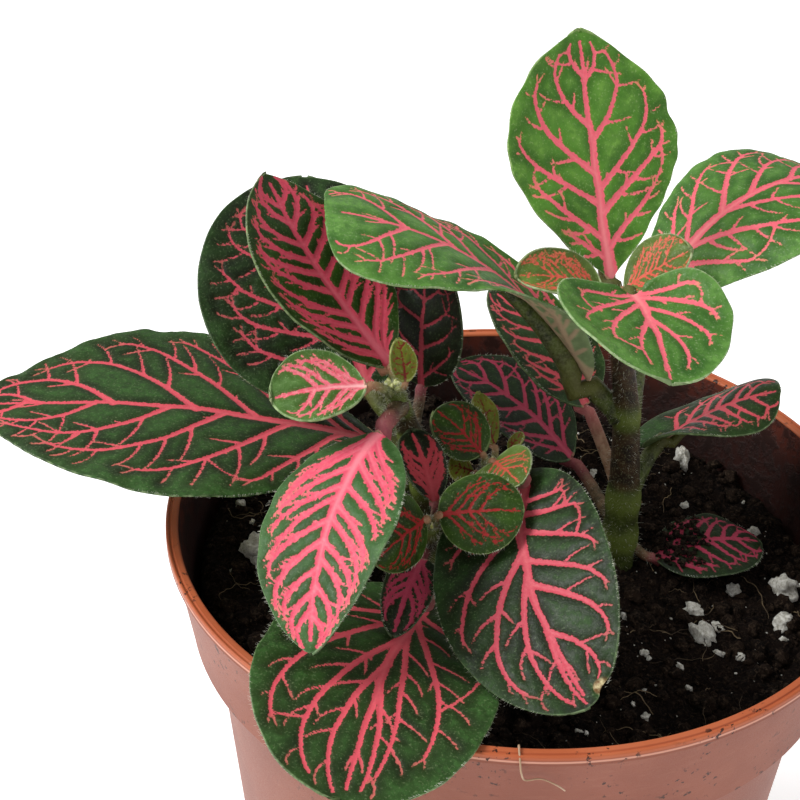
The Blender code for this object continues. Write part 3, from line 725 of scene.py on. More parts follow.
def veinField(leaf, lines, part, side):
    # distance in mm to the nearest vein's edge, negative inside it, and that vein's tone
    flat = flatPoints(leaf, part, side)[0]
    edge = np.full(len(part), 3.0)
    tone = np.zeros(len(part))
    for order in (0, 1, 2):
        samples = []
        for rank, line in lines:
            if rank != order or len(line) < 2:
                continue
            run = flatPoints(leaf, line[:, 0], line[:, 1])[0]
            stretch = np.concatenate([[0], np.cumsum(np.linalg.norm(np.diff(run, axis=0), axis=1))])
            count = max(int(stretch[-1] / sampleMm), 2)
            at = np.linspace(0, stretch[-1], count)
            columns = [run[:, 0], run[:, 1], line[:, 2], line[:, 3]]
            samples.append(np.stack([np.interp(at, stretch, column) for column in columns], 1))
        if not samples:
            continue
        samples = np.vstack(samples)
        tree = kdtree.KDTree(len(samples))
        for index, sample in enumerate(samples):
            tree.insert((sample[0], sample[1], 0), index)
        tree.balance()
        found = [tree.find((x, y, 0)) for x, y in flat]
        index = np.array([hit[1] for hit in found])
        distance = np.array([hit[2] for hit in found]) - samples[index, 2]
        nearer = distance < edge
        edge = np.where(nearer, distance, edge)
        tone = np.where(nearer, samples[index, 3], tone)
    return edge, tone


def rimField(leaf, part, side):
    # distance in mm to the margin
    t = (1 - np.cos(np.linspace(0, math.pi, rimSteps))) / 2
    tree = kdtree.KDTree(2 * rimSteps)
    for sign in (-1, 1):
        outline = flatPoints(leaf, t, np.full(rimSteps, float(sign)))[0]
        for index, (x, y) in enumerate(outline):
            tree.insert((x, y, 0), index)
    tree.balance()
    return np.array([tree.find((x, y, 0))[2] for x, y in flatPoints(leaf, part, side)[0]])


def makeBlade(name, leaf, rng):
    habit = veinHabits[leaf["veins"]]
    length, width = leaf["size"]
    cell = gridMm if width > 12 else 0.6 * gridMm
    leaf["finest"] = 0.58 * cell
    steps = max(int(length / cell), 16)
    rows = max(int(width / cell) // 2 * 2, 12)
    bm = bmesh.new()
    bmesh.ops.create_grid(bm, x_segments=steps, y_segments=rows, size=0.5)
    mesh = meshFrom(bm, name)
    grid = getPoints(mesh) * mm
    even = grid[:, 0] + 0.5
    part = 0.0006 + 0.999 * (0.35 * even + 0.65 * (1 - np.cos(even * math.pi)) / 2)
    side = -2 * grid[:, 1]
    frames = midribFrames(leaf)
    points = bladePoints(leaf, frames, part, side)
    setPoints(mesh, points)
    normals = np.empty(len(points) * 3, np.float32)
    mesh.vertices.foreach_get("normal", normals)
    normals = normals.reshape(-1, 3).astype(float)
    lines = veinLines(leaf, habit, rng)
    edge, tone = veinField(leaf, lines, part, side)
    rim = rimField(leaf, part, side)
    seed = rng.seedPlace
    ripple = np.array([noise.noise(Vector((p[0] * 0.16, p[1] * 0.16, p[2] * 0.16 + seed))) for p in points])
    pressed = np.stack([part * length / 2.6, side * 2.0], 1)
    crimp = np.array([noise.noise(Vector((a, b, seed + 4))) for a, b in pressed])
    inside = np.clip(rim / 1.5, 0, 1)
    quilt = quiltDepth * (1 - np.exp(-np.clip(edge, 0, 9) / 0.7)) * inside
    sunk = -0.1 * np.clip(-edge / 0.4, 0, 1)
    flutter = ripple * 1.6 * np.abs(side) ** 1.5 + crimp * 0.8 * np.abs(side) ** 4
    lift = quilt + sunk + leaf["wave"] * flutter
    outward = unit(points - bladePoints(leaf, frames, part, side * 0.9) + 1e-9)
    notch = leaf["crinkle"] * crimp * np.abs(side) ** 6
    scar = np.zeros(len(part))
    if leaf["tear"]:
        # a torn, curled bit of margin: where it is on the blade as part and side, and its size in mm
        tearPart, tearSide, tearSize = leaf["tear"]
        spot = flatPoints(leaf, np.array([tearPart]), np.array([tearSide]))[0]
        apart = np.linalg.norm(flatPoints(leaf, part, side)[0] - spot, axis=1)
        scar = np.exp(-((apart / tearSize) ** 2))
        notch = notch - 0.75 * scar * (1 + 0.5 * crimp)
        lift = lift + 0.55 * scar
    setAttribute(mesh, "tornEdge", scar)
    setPoints(mesh, points + normals * lift[:, None] + outward * notch[:, None])
    setAttribute(mesh, "veinEdge", edge)
    setAttribute(mesh, "veinTone", tone)
    setAttribute(mesh, "rimDistance", rim)
    mesh.shade_smooth()
    blade = linkObject(name, mesh, list(skins[leaf["look"]]))
    wall = blade.modifiers.new("thickness", "SOLIDIFY")
    wall.thickness = bladeThickness * mm
    wall.offset = -1
    wall.material_offset = 1
    solid = evaluatedMesh(blade)
    blade.modifiers.clear()
    blade.data = solid
    return blade, frames


def stemAt(name, height):
    route = stemRoutes[name]
    place = np.array([np.interp(height, route[:, 2], route[:, axis]) for axis in range(4)])
    before = np.array([np.interp(height - 1, route[:, 2], route[:, axis]) for axis in range(3)])
    after = np.array([np.interp(height + 1, route[:, 2], route[:, axis]) for axis in range(3)])
    return place[:3], unit(after - before), place[3]


def stalkRoute(leaf, frames):
    # out of the stem, in a bend to the start of the blade, then under the midrib to near the tip
    centre, along, radius = stemAt(leaf["stem"], leaf["height"])
    base = np.array(leaf["base"], float)
    way = unit(base - centre)
    out = unit(way - np.dot(way, along) * along)
    root = centre + out * radius * 0.4
    forward = frames[1][0]
    reach = np.linalg.norm(base - root)
    t = np.linspace(0, 1, 12)[:-1, None]
    first, second = root + unit(base - root) * reach * 0.35, base - forward * reach * 0.35
    bent = (1 - t) ** 3 * root + 3 * (1 - t) ** 2 * t * first + 3 * (1 - t) * t**2 * second + t**3 * base
    thick = 0.25 + 0.028 * leaf["size"][0]
    stalkRadii = thick * (1 + 0.35 * np.exp(-t[:, 0] * 9))
    part = np.linspace(0, 0.9, 22)
    radii = thick * (0.9 * (1 - part) ** 1.3 + 0.12)
    under = bladePoints(leaf, frames, part, np.zeros(22))
    place = part * midribSteps
    low = np.minimum(place.astype(int), midribSteps - 1)
    sink = radii + 0.12 + 0.5 * radii * np.clip(1 - part / 0.08, 0, 1)
    under = under - frames[3][low] * sink[:, None]
    return np.vstack([bent, under]), np.concatenate([stalkRadii, radii]), len(bent)


def makeLeaf(name, leaf, number):
    rng = random.Random(number * 7 + 3)
    rng.seedPlace = number * 3.7
    blade, frames = makeBlade(name, leaf, rng)
    route, radii, free = stalkRoute(leaf, frames)
    radii = radii * np.where(np.arange(len(radii)) < free, leaf["thick"], 1.0)
    stalk = tubeObject(name + "Stalk", route, radii, stalkSkins[leaf["stalk"]], 3)
    points = getPoints(stalk.data)
    nearest = np.linalg.norm(points[:, None] - route[None], axis=2).argmin(1)
    setAttribute(stalk.data, "stalkBlush", np.exp(-(((nearest - free) / 3.0) ** 2)))
    placings = []
    around = max(int((leaf["size"][0] * 2.3) / 0.3), 30)
    for sign in (-1, 1):
        part = np.sort(np.array([rng.uniform(0.03, 0.985) for _ in range(around // 2)]))
        margin = np.full(len(part), float(sign))
        points = bladePoints(leaf, frames, part, margin)
        inner = bladePoints(leaf, frames, part, margin * 0.8)
        ahead = bladePoints(leaf, frames, np.clip(part + 0.01, 0, 1), margin) - points
        for point, inward, forward in zip(points, inner, unit(ahead)):
            way = unit(point - inward) + 0.5 * forward * rng.uniform(-0.2, 1)
            way = way + np.array([rng.uniform(-0.3, 0.3) for _ in range(3)])
            size = rng.uniform(0.15, 0.42)
            placings.append(hairMatrix(point - unit(way) * hairRoot, way, size + hairRoot, leafHair, rng))
    for _ in range(9 * free):
        index = rng.randrange(0, free)
        way = unit(np.array([rng.gauss(0, 1) for _ in range(3)]))
        along = unit(route[index + 1] - route[index])
        way = unit(way - np.dot(way, along) * along)
        place = route[index] + (route[index + 1] - route[index]) * rng.random() + way * radii[index] * 0.9
        tilted = way + along * rng.uniform(-0.2, 0.5)
        placings.append(hairMatrix(place, tilted, rng.uniform(0.25, 0.6), leafHair, rng))
    hairs = scatterCopies(name + "Hairs", [hairShape], placings, [hairMaterial])
    joinObjects(blade, [stalk, hairs])
    blade.name = name + "_leaf" if not name.endswith("leaf") else name + "_grown"
    finishPiece(blade, lookSlots.get(leaf["look"], "mature_leaf"), name)


print("stems")

# Stems: points of the route from the soil to the tip as x, y, z and radius, in mm, as in the CAD.
stems = {
    "right_stem": [(13.5, 3.5, 70, 2.5), (13.6, 3.9, 79, 2.2), (12.9, 4.5, 91, 1.8), (11.4, 3.8, 101, 1.5),
                   (9.8, 3.0, 108.4, 1.1)],
    "left_stem": [(-10.5, -1, 70, 1.9), (-12, -2, 82, 1.7), (-14.2, -3.4, 93, 1.5), (-16, -5.4, 99.5, 1.1)],
    "middle_stem": [(-9.5, -6.5, 70, 1.7), (-10.8, -11, 80, 1.4), (-9.9, -17.3, 88.4, 0.9)],
    "inner_stem": [(-2.8, 0, 70, 1.6), (-3.6, -1, 80, 1.3), (-4, -2.6, 87.2, 0.9)],
}
stemRoutes = {name: smoothCurve(points, 90) for name, points in stems.items()}


def stemSkin():
    # fleshy green stem, yellower and paler at the swollen nodes where leaves join
    material, shader, add, coords = newMaterial("fleshyStemTissue", 0.5, Specular_IOR_Level=0.3)
    node = add("Attribute", output="Fac", attribute_name="nodeTone")
    mottle = add("MapRange", add("TexNoise", coords, 1000 / 1.4, 4, 0.55), 0.3, 0.7)
    skin = add("Mix", mottle, "20260a", "3e4a18")
    height = add("SeparateXYZ", coords, output="Z")
    older = add("MapRange", height, 78 * mm, 82 * mm)
    woody = add("Math", older, add("MapRange", node, 0.05, 0.5, 0.9, 0.0), **times)
    skin = add("Mix", woody, skin, add("Mix", mottle, "1c0f0b", "40291c"))
    skin = add("Mix", add("Math", node, 0.6, **times), skin, "708036")
    fine = add("MapRange", add("TexNoise", coords, 1000 / 0.22, 3, 0.55), 0.5, 0.75)
    skin = add("Mix", add("Math", fine, 0.3, **times), skin, "a3a878")
    relief = add("Bump", 0.5, 0.1 * mm, None, fine)
    feed(shader, Base_Color=skin, Normal=relief)
    return material


stemMaterial = stemSkin()


def budSkin():
    # the youngest tissue, pale yellow-green and waxy
    material, shader, add, coords = newMaterial("youngTipTissue", 0.45)
    mottle = add("MapRange", add("TexNoise", coords, 1000 / 0.4, 3, 0.55), 0.35, 0.65)
    skin = add("Mix", mottle, "a9b45a", "dfe0a4")
    feed(shader, Base_Color=skin)
    return material


budTissue = budSkin()
bm = bmesh.new()
bmesh.ops.create_icosphere(bm, subdivisions=2, radius=mm)
budShape = meshFrom(bm, "budShape")
stemFuzz = {"right_stem": 700, "left_stem": 700, "middle_stem": 400, "inner_stem": 300}
for number, (name, route) in enumerate(stemRoutes.items()):
    rng = random.Random(90 + number)
    heights = sorted(leaf["height"] for leaf in leaves.values() if leaf["stem"] == name)
    near = np.array([np.exp(-((route[:, 2] - height) / 1.4) ** 2) for height in heights]).max(0)
    radii = route[:, 3] * (0.94 + 0.14 * near)
    low = route[0].copy()
    low[2] -= 6
    places = np.vstack([low[:3], route[:, :3]])
    stem = tubeObject(name + "Grown", places, np.concatenate([[radii[0]], radii]), stemMaterial, 8)
    points = getPoints(stem.data)
    setAttribute(stem.data, "nodeTone", np.interp(points[:, 2], route[:, 2], near))
    placings = []
    for _ in range(stemFuzz[name]):
        index = rng.randrange(0, 89)
        start, end = route[index, :3], route[index + 1, :3]
        along = unit(end - start)
        way = unit(np.cross(along, [rng.gauss(0, 1) for _ in range(3)]))
        place = start + (end - start) * rng.random() + way * radii[index] * 0.95
        tilted = way + along * rng.uniform(-0.3, 0.5)
        placings.append(hairMatrix(place, tilted, rng.uniform(0.35, 0.95), stemHair, rng))
    tip = route[-1, :3]
    for _ in range(240):
        way = unit(np.array([rng.gauss(0, 1), rng.gauss(0, 1), abs(rng.gauss(0, 1))]))
        placings.append(hairMatrix(tip + way * 0.7 * radii[-1], way, rng.uniform(0.3, 0.8), stemHair, rng))
    hairs = scatterCopies(name + "Hairs", [hairShape], placings, [hairMaterial])
    scales = []
    for index in range(5 if name != "right_stem" else 3):
        # the growing tip: small overlapping scales
        turn = index * 2.4
        matrix = np.array(Matrix.Rotation(turn, 3, "Z") @ Matrix.Rotation(0.5, 3, "Y"))
        place = np.eye(4)
        place[:3, :3] = matrix * [0.42, 0.3, 0.85]
        place[:3, 3] = tip + np.array([math.cos(turn), math.sin(turn), 1.2]) * 0.45
        scales.append((0, place))
    tipScales = scatterCopies(name + "Tip", [budShape], scales, [budTissue])
    joinObjects(stem, [hairs, tipScales])
    finishPiece(stem, "main_stem" if name == "right_stem" else "shoot_stem", name)

print("leaves")
for number, (name, leaf) in enumerate(leaves.items()):
    makeLeaf(name, leaf, number)

print("pot")

# Pot sizes in mm, the same as the CAD solid's.
pot = dict(height=80.0, rim=45.0, rimInner=43.4, lip=1.2, collarTop=44.3, collarBottom=42.4, collar=14.9,
           bodyTop=39.65, base=34.0, wall=1.2, floor=1.6, holes=8, holeRadius=2.6, holeCircle=26.0,
           steps=192)


def innerWall(z):
    run = (z - pot["floor"]) / (pot["height"] - pot["collar"] - pot["floor"])
    return pot["base"] - pot["wall"] + run * (pot["bodyTop"] - pot["base"])


def potPlastic():
    # matte moulded polypropylene, terracotta coloured, bleached a little, with dried soil specks, and
    # painted light on the top face of the rim
    title = "mouldedTerracottaPolypropylene"
    material, shader, add, coords = newMaterial(title, 0.55, Specular_IOR_Level=0.3)
    height = add("SeparateXYZ", coords, output="Z")
    cloud = add("MapRange", add("TexNoise", coords, 1000 / 14, 4, 0.55), 0.3, 0.7)
    body = add("Mix", cloud, "80422d", "8e503b")
    # painted light: the top face of the rim is painted lighter and more orange, where the light from above
    # falls on it
    litRimTop = add("Mix", cloud, "ab5530", "bd6640")
    skin = add("Mix", add("MapRange", height, 79.3 * mm, 79.8 * mm), body, litRimTop)
    burrTop = add("MapRange", height, 79.4 * mm, 79.5 * mm, 1.0, 0.0)
    burr = add("Math", add("MapRange", height, 79.1 * mm, 79.25 * mm), burrTop, **times)
    skin = add("Mix", add("Math", burr, 0.8, **times), skin, "dc9f88")
    stretched = add("Mapping", coords, None, None, (1, 1, 5))
    haze = add("MapRange", add("TexNoise", stretched, 1000 / 4, 4, 0.55), 0.5, 0.85, 0.0, 0.22)
    skin = add("Mix", haze, skin, "a8715a")
    speck = add("MapRange", add("TexNoise", coords, 1000 / 0.9, 4, 0.6), 0.6, 0.64)
    # splashes of soil dry on the collar, few lower down
    dusty = add("MapRange", add("TexNoise", coords, 1000 / 7, 2, 0.55), 0.45, 0.6)
    dusty = add("Math", dusty, add("MapRange", height, 48 * mm, 72 * mm, 0.12, 1.0), **times)
    skin = add("Mix", add("Math", speck, dusty, **times), skin, "3a1c12")
    fine = add("TexNoise", coords, 1000 / 0.12, 3, 0.55)
    roughness = add("MapRange", fine, 0.3, 0.7, 0.42, 0.58)
    relief = add("Bump", 0.25, 0.04 * mm, None, fine)
    feed(shader, Base_Color=skin, Roughness=roughness, Normal=relief)
    return material


def potInside():
    # the same plastic in the pot, darker than the outside and darker towards the bottom, with blotches of
    # dark peat stain
    material, shader, add, coords = newMaterial("peatStainedPolypropylene", 0.55, IOR=1.49)
    height = add("SeparateXYZ", coords, output="Z")
    dirt = add("MapRange", add("TexNoise", coords, 1000 / 2.5, 6, 0.7), 0.42, 0.6)
    # darker towards the bottom: nearly black below 74 mm, lighter up to the rim
    darkerLow = add("Mix", add("MapRange", height, 74 * mm, 80 * mm), "2e0f08", "5e2617")
    skin = add("Mix", add("Math", dirt, 0.75, **times), darkerLow, "190a06")
    relief = add("Bump", 0.5, 0.15 * mm, None, dirt)
    feed(shader, Base_Color=skin, Normal=relief)
    return material


def arc(centreRadius, centreHeight, radius, start, end, count=7):
    turns = [math.radians(start + (end - start) * i / (count - 1)) for i in range(count)]
    return [(centreRadius + radius * math.cos(a), centreHeight + radius * math.sin(a)) for a in turns]


def makePot():
    collarBottom = pot["height"] - pot["collar"]
    top = pot["height"]
    inside = [(0.0, pot["floor"])]
    inside += [(innerWall(pot["floor"]) - 0.8, pot["floor"]), (innerWall(pot["floor"]), pot["floor"] + 0.8)]
    inside += [(innerWall(collarBottom), collarBottom)]
    inside += [(pot["collarBottom"] - pot["wall"], collarBottom + pot["wall"])]
    inside += arc(pot["rimInner"] + 0.35, top - 0.35, 0.35, 180, 90)
    # the flat top of the rim, its shallow groove, then the moulding burr at the outer edge
    outside = [(pot["rim"] - 0.75, top), (pot["rim"] - 0.62, top - 0.16), (pot["rim"] - 0.44, top - 0.16)]
    outside += arc(pot["rim"] - 0.22, top - 0.12, 0.2, 170, 0, 9)
    outside += [(pot["rim"] - 0.03, top - 0.4), (pot["rim"], top - 0.6), (pot["rim"], top - pot["lip"])]
    outside += [(pot["collarTop"] + 0.12, top - 1.5), (pot["collarTop"], top - 1.8)]
    outside += [(pot["collarBottom"], collarBottom + 0.6)]
    outside += arc(pot["collarBottom"] - 0.4, collarBottom + 0.4, 0.4, 0, -90, 5)
    outside += [(pot["bodyTop"] + 0.3, collarBottom), (pot["bodyTop"], collarBottom - 0.3)]
    outside += arc(pot["base"] - 0.6, 0.6, 0.6, 0, -90, 5)
    outside += [(pot["base"] - 3, 0.0), (pot["base"] - 3.4, 0.35), (0.0, 0.35)]
    bm = bmesh.new()
    bmesh.ops.create_vert(bm, co=(0, 0, 0))
    first = list(bm.verts)[0]
    first.co = (inside[0][0] * mm, 0, inside[0][1] * mm)
    line = [first]
    for radius, z in inside[1:] + outside:
        step = bmesh.ops.extrude_vert_indiv(bm, verts=[line[-1]])
        step["verts"][0].co = (radius * mm, 0, z * mm)
        line.append(step["verts"][0])
    bmesh.ops.spin(
        bm, geom=list(bm.verts) + list(bm.edges), cent=(0, 0, 0), axis=(0, 0, 1), angle=2 * math.pi,
        steps=pot["steps"], use_merge=True,
    )
    bmesh.ops.remove_doubles(bm, verts=bm.verts, dist=0.005 * mm)
    bmesh.ops.recalc_face_normals(bm, faces=bm.faces)
    for face in bm.faces:
        middle = face.calc_center_median()
        radius = math.hypot(middle.x, middle.y) / mm
        deep = middle.z < (top - 0.8) * mm and face.normal.z > -0.9
        face.material_index = 1 if deep and face.normal.xy.dot(middle.xy) <= 0 and middle.z > 1.2 * mm else 0
        face.smooth = True
    mesh = meshFrom(bm, "potShell")
    shell = linkObject("potShell", mesh, [potPlastic(), potInside()])
    bm = bmesh.new()
    radius = pot["holeRadius"] * mm
    for index in range(pot["holes"]):
        angle = 2 * math.pi * (index + 0.5) / pot["holes"]
        made = bmesh.ops.create_cone(
            bm, cap_ends=True, segments=24, radius1=radius, radius2=radius, depth=6 * mm
        )
        place = (pot["holeCircle"] * math.cos(angle) * mm, pot["holeCircle"] * math.sin(angle) * mm, 0)
        bmesh.ops.translate(bm, verts=made["verts"], vec=place)
    cutter = linkObject("drainCutter", meshFrom(bm, "drainCutter"), [])
    drain = shell.modifiers.new("drain", "BOOLEAN")
    drain.operation = "DIFFERENCE"
    drain.object = cutter
    cut = evaluatedMesh(shell)
    shell.modifiers.clear()
    shell.data = cut
    bpy.data.objects.remove(cutter)
    cut.set_sharp_from_angle(angle=math.radians(40))
    finishPiece(shell, "terracotta_plastic", "pot")


makePot()

print("soil")

# Soil: the height of its top in mm and how it falls to the right, how many loose bits lie on it, and how
# far from the middle they reach, in mm.
soil = dict(level=70, slope=0.06, cells=250, crumbs=3000, crumbReach=40.3, crumbsOnLeaf=190,
            perliteDust=330, dustReach=39.5, fibres=120, fibreReach=37)


def peatSoil(name, dark, light, fleck):
    # damp peat compost: nearly black fibres and crumbs with brown fragments
    material, shader, add, coords = newMaterial(name, 0.95, Specular_IOR_Level=0.1)
    clumps = add("MapRange", add("TexNoise", coords, 1000 / 3.0, 6, 0.7), 0.35, 0.65)
    grains = add("MapRange", add("TexNoise", coords, 1000 / 0.5, 4, 0.7), 0.45, 0.75)
    skin = add("Mix", clumps, dark, light)
    skin = add("Mix", add("Math", grains, 0.8, **times), skin, fleck)
    relief = add("Bump", 0.9, 0.3 * mm, None, grains)
    feed(shader, Base_Color=skin, Normal=relief)
    return material


def perliteGrain():
    # expanded volcanic glass: white, porous and dusty
    material, shader, add, coords = newMaterial("expandedPerlite", 0.8)
    pores = add("MapRange", add("TexNoise", coords, 1000 / 0.4, 5, 0.7), 0.3, 0.6)
    skin = add("Mix", pores, "c9c4b2", "fdfbf2")
    relief = add("Bump", 0.8, 0.25 * mm, None, pores)
    feed(shader, Base_Color=skin, Normal=relief)
    return material


def rootFibre(name, dark, light):
    # thin roots and peat fibres, brown when dead and cream when alive
    material, shader, add, coords = newMaterial(name, 0.7)
    shade = add("MapRange", add("TexNoise", coords, 1000 / 6, 3, 0.55), 0.35, 0.65)
    skin = add("Mix", shade, dark, light)
    feed(shader, Base_Color=skin)
    return material


def soilHeight(x, y):
    # the CAD top, then lumps of a few mm, crumbs and grain
    lumps = math.sin(x * 0.35 + 1) * math.cos(y * 0.31) + 0.5 * math.sin(x * 0.8 - y * 0.6)
    height = soil["level"] - soil["slope"] * x + 0.35 * lumps
    place = Vector((x, y, 0))
    height += 0.75 * noise.noise(place * 0.22 + Vector((3, 1, 2)))
    height += 0.5 * noise.noise(place * 0.6 + Vector((8, 4, 0)))
    return height + 0.45 * noise.noise(place * 1.3) + 0.28 * noise.noise(place * 3.1)


def makeSoil():
    ledge = pot["height"] - pot["collar"]
    edge = pot["collarBottom"] - pot["wall"] - 0.35
    bm = bmesh.new()
    bmesh.ops.create_grid(bm, x_segments=soil["cells"], y_segments=soil["cells"], size=1.0)
    for vertex in bm.verts:
        # square to disc, ring by ring
        x, y = vertex.co.x, vertex.co.y
        far = max(abs(x), abs(y))
        turn = math.hypot(x, y)
        scale = far / turn if turn > 1e-9 else 0
        px, py = x * scale * edge, y * scale * edge
        vertex.co = (px * mm, py * mm, soilHeight(px, py) * mm)
        vertex.co.z += -0.9 * mm * max(0, far - 0.97) / 0.03
    sides = [(edge, ledge + 1.55), (innerWall(ledge) - 0.35, ledge + 0.35), (innerWall(1.6) - 0.4, 2.0)]
    ring = [e for e in bm.edges if e.is_boundary]
    for radius, z in sides:
        grown = bmesh.ops.extrude_edge_only(bm, edges=ring)["geom"]
        for vertex in (g for g in grown if isinstance(g, bmesh.types.BMVert)):
            way = vertex.co.xy.normalized() * radius * mm
            vertex.co = (way.x, way.y, z * mm)
        ring = [g for g in grown if isinstance(g, bmesh.types.BMEdge) and g.is_boundary]
    bmesh.ops.contextual_create(bm, geom=ring)
    bmesh.ops.recalc_face_normals(bm, faces=bm.faces)
    mesh = meshFrom(bm, "soilPlug")
    mesh.shade_smooth()
    plug = linkObject("soilPlug", mesh, [peatSoil("dampPeatCompost", "060404", "1a120e", "4c3d33")])
    finishPiece(plug, "potting_soil", "soil")


def lumpShape(level, roughness, seed):
    # an angular grain, 2 mm across before it is scaled
    bm = bmesh.new()
    bmesh.ops.create_icosphere(bm, subdivisions=level, radius=mm)
    for vertex in bm.verts:
        away = vertex.co.normalized()
        vertex.co *= 1 + roughness * noise.noise(away * 1.7 + Vector((seed, 0, 0)))
        vertex.co += away * mm * 0.3 * roughness * noise.noise(away * 4.5 + Vector((0, seed, 0)))
    return meshFrom(bm, "lumpShape")


def lumpMatrix(place, size, rng):
    spin = Matrix.Rotation(rng.uniform(0, 6.28), 3, "Z")
    turn = np.array(spin @ Matrix.Rotation(rng.uniform(0, 3.14), 3, "X"))
    matrix = np.eye(4)
    matrix[:3, :3] = turn * [size, size * rng.uniform(0.6, 0.95), size * rng.uniform(0.45, 0.8)]
    matrix[:3, 3] = place
    return matrix


makeSoil()
rng = random.Random(5)
crumbShapes = [lumpShape(1, 0.7, seed) for seed in range(5)] + [lumpShape(2, 0.6, seed) for seed in range(3)]
placings = []
for _ in range(soil["crumbs"]):
    far, angle = soil["crumbReach"] * math.sqrt(rng.random()), rng.uniform(0, 6.2832)
    x, y = far * math.cos(angle), far * math.sin(angle)
    size = 0.25 + 1.15 * rng.random() ** 4
    shape = rng.randrange(5) if size < 1.0 else 5 + rng.randrange(3)
    placings.append((shape, lumpMatrix((x, y, soilHeight(x, y) + size * 0.15), size, rng)))
# crumbs lie over the lower half of the leaf that rests on the soil
buried = leaves["right_leaf_on_soil"]
buriedFrames = midribFrames(buried)
for _ in range(soil["crumbsOnLeaf"]):
    part, side = rng.uniform(0.02, 0.5), rng.uniform(-1.0, 0.75)
    if part > 0.5 - 0.25 * (side + 0.2) + rng.uniform(-0.1, 0.1):
        continue
    place = bladePoints(buried, buriedFrames, np.array([part]), np.array([side]))[0]
    size = rng.uniform(0.18, 0.55)
    place[2] = max(place[2], soilHeight(place[0], place[1])) + 0.25
    placings.append((rng.randrange(5), lumpMatrix(place, size, rng)))
crumbMaterial = peatSoil("loosePeatCrumb", "0b0807", "2a1f18", "6a5849")
crumbs = scatterCopies("peatCrumbs", crumbShapes, placings, [crumbMaterial])
finishPiece(crumbs, "potting_soil")

# Perlite: the grains that show, as x, y and size in mm, then a few strays.
perlite = [(-33.4, -4.8, 1.5), (-37.5, 5.6, 0.7), (23.5, -5.2, 0.9), (24.5, -9.6, 1.25), (26, -7.6, 0.8),
           (29, 1, 0.75), (35, -5.2, 1.15), (35.5, 1.4, 1.3), (23.3, 28.9, 1.35), (10, 18.9, 0.8),
           (26.2, -12.6, 0.5), (22.2, -19.5, 0.3), (16.9, -14.7, 0.35), (14.5, -7.3, 0.45),
           (28.9, -13.2, 0.4), (32.7, 14.2, 0.55), (10.5, 23.4, 0.5), (-0.4, -27.8, 0.25), (23.3, 17.7, 0.4),
           (-30, 22, 1.1)]
placings = []
for _ in range(soil["perliteDust"]):
    far, angle = soil["dustReach"] * math.sqrt(rng.random()), rng.uniform(0, 6.2832)
    perlite.append((far * math.cos(angle), far * math.sin(angle), 0.07 + 0.42 * rng.random() ** 7))
for x, y, size in perlite:
    place = (x, y, soilHeight(x, y) + size * 0.4)
    shape = rng.randrange(3) + (3 if size > 0.22 else 0)
    placings.append((shape, lumpMatrix(place, size * 1.55, rng)))
# dust has 20 faces a grain, a grain that shows has 320
grainShapes = [lumpShape(level, 0.6, seed + 20) for level in (1, 3) for seed in range(3)]
grains = scatterCopies("perliteGrains", grainShapes, placings, [perliteGrain()])
finishPiece(grains, "potting_soil")


def fibreRoute(x, y, length, rng):
    heading = rng.uniform(0, 6.28)
    points = []
    lift = rng.uniform(0.1, 0.9)
    for index in range(16):
        t = index / 15
        points.append((x, y, soilHeight(x, y) + 0.1 + lift * math.sin(math.pi * t)))
        heading += rng.uniform(-0.45, 0.45)
        x, y = x + math.cos(heading) * length / 15, y + math.sin(heading) * length / 15
        if math.hypot(x, y) > 39.5:
            heading += 2.2
            x, y = x * 0.985, y * 0.985
    return smoothCurve(points, 24)


fibreMaterial = rootFibre("driedRootFibre", "3f3022", "a08a68")
fibres = []
for index in range(soil["fibres"]):
    far, angle = soil["fibreReach"] * math.sqrt(rng.random()), rng.uniform(0, 6.2832)
    route = fibreRoute(far * math.cos(angle), far * math.sin(angle), rng.uniform(2.5, 11), rng)
    thick = rng.uniform(0.03, 0.085)
    radii = np.linspace(thick, thick * 0.5, len(route))
    fibres.append(tubeObject("fibre%d" % index, route, radii, fibreMaterial, 1))
# one pale root hangs over the front of the rim
over = [(1.5, -38, 70.8), (1.8, -41, 73), (1.9, -43.0, 79.6), (2.0, -44.3, 80.2), (2.2, -45.2, 79.3),
        (2.4, -45.1, 77.8), (2.9, -44.6, 76.4), (4.5, -44.4, 76.6), (6.2, -44.2, 75.7), (7.2, -43.95, 74.7)]
overMaterial = rootFibre("paleLiveRoot", "a98a6c", "e6d2b8")
fibres.append(tubeObject("rootOverRim", smoothCurve(over, 60), np.linspace(0.13, 0.08, 60), overMaterial, 2))
roots = joinObjects(fibres[0], fibres[1:])
roots.name = "rootFibres"
finishPiece(roots, "potting_soil")

print("stage")

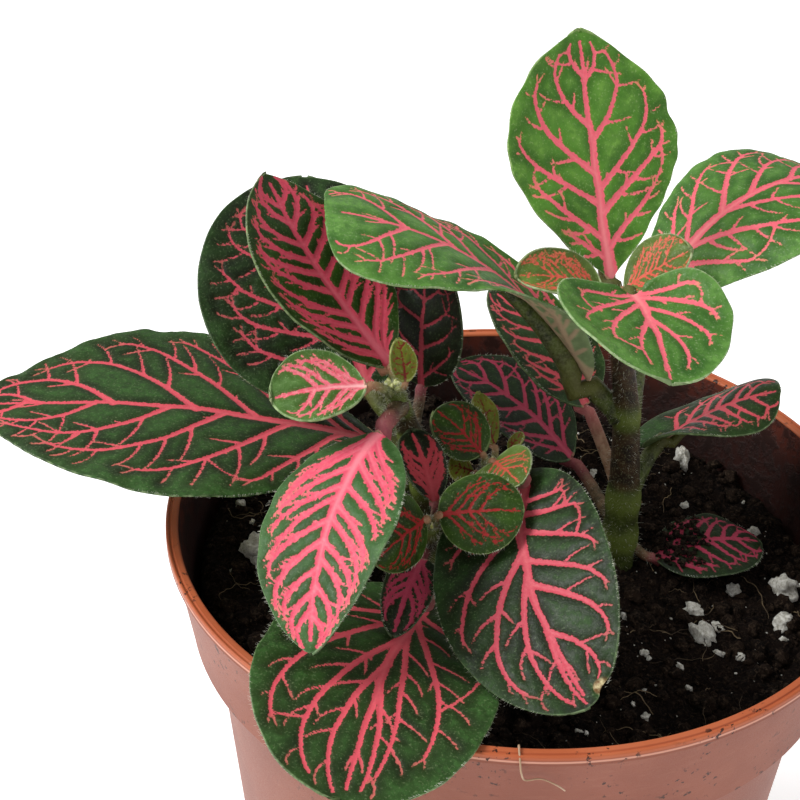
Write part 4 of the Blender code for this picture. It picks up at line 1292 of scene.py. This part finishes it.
# Camera, 32 degrees above the level, over the front of the pot. Angles in radians, place in mm.
view = dict(place=(0, -167.2, 202.0), yaw=-0.0926, pitch=0.569, roll=0.0214, lens=72)
yaw, pitch, roll = view["yaw"], view["pitch"], view["roll"]
forward = Vector((math.sin(yaw) * math.cos(pitch), math.cos(yaw) * math.cos(pitch), -math.sin(pitch)))
level = Vector((math.cos(yaw), -math.sin(yaw), 0))
above = level.cross(forward)
across = math.cos(roll) * level + math.sin(roll) * above
upward = -math.sin(roll) * level + math.cos(roll) * above
cameraData = bpy.data.cameras.new("camera")
cameraData.lens = view["lens"]
cameraData.sensor_width = 36
cameraData.clip_start = 0.001
camera = bpy.data.objects.new("camera", cameraData)
turned = Matrix((across, upward, -forward)).transposed().to_4x4()
camera.matrix_world = Matrix.Translation(Vector(view["place"]) * mm) @ turned
bpy.context.scene.collection.objects.link(camera)
bpy.context.scene.camera = camera

bm = bmesh.new()
bmesh.ops.create_grid(bm, x_segments=1, y_segments=1, size=1.5)
floorMesh = meshFrom(bm, "paleFloor")
# a translucent white acrylic sheet lit a little from below, so that it stays white under the pot
whiteness = dict(Base_Color=(0.95, 0.95, 0.95, 1), Emission_Color=(1, 1, 1, 1), Emission_Strength=0.5)
floor = linkObject("paleFloor", floorMesh, [newMaterial("backlitWhiteAcrylic", 0.9, **whiteness)[0]])


def addLight(name, place, energy, size, target=(0, 0, 0.09)):
    data = bpy.data.lights.new(name, "AREA")
    data.energy = energy
    data.size = size
    light = bpy.data.objects.new(name, data)
    light.location = place
    light.rotation_euler = (Vector(target) - Vector(place)).to_track_quat("-Z", "Y").to_euler()
    bpy.context.scene.collection.objects.link(light)


# place and size in metres, energy in watts
lights = {
    "softbox": dict(place=(-0.75, -0.1, 0.85), energy=11.5, size=0.5),
    "sideFill": dict(place=(0.7, -0.3, 0.5), energy=1.2, size=0.6),
}
for name, light in lights.items():
    addLight(name, **light)
world = bpy.data.worlds.new("studioWorld")
world.use_nodes = True
world.node_tree.nodes["Background"].inputs["Color"].default_value = (1, 1, 1, 1)
world.node_tree.nodes["Background"].inputs["Strength"].default_value = 0.45
bpy.context.scene.world = world
bpy.context.scene.view_settings.view_transform = "Standard"
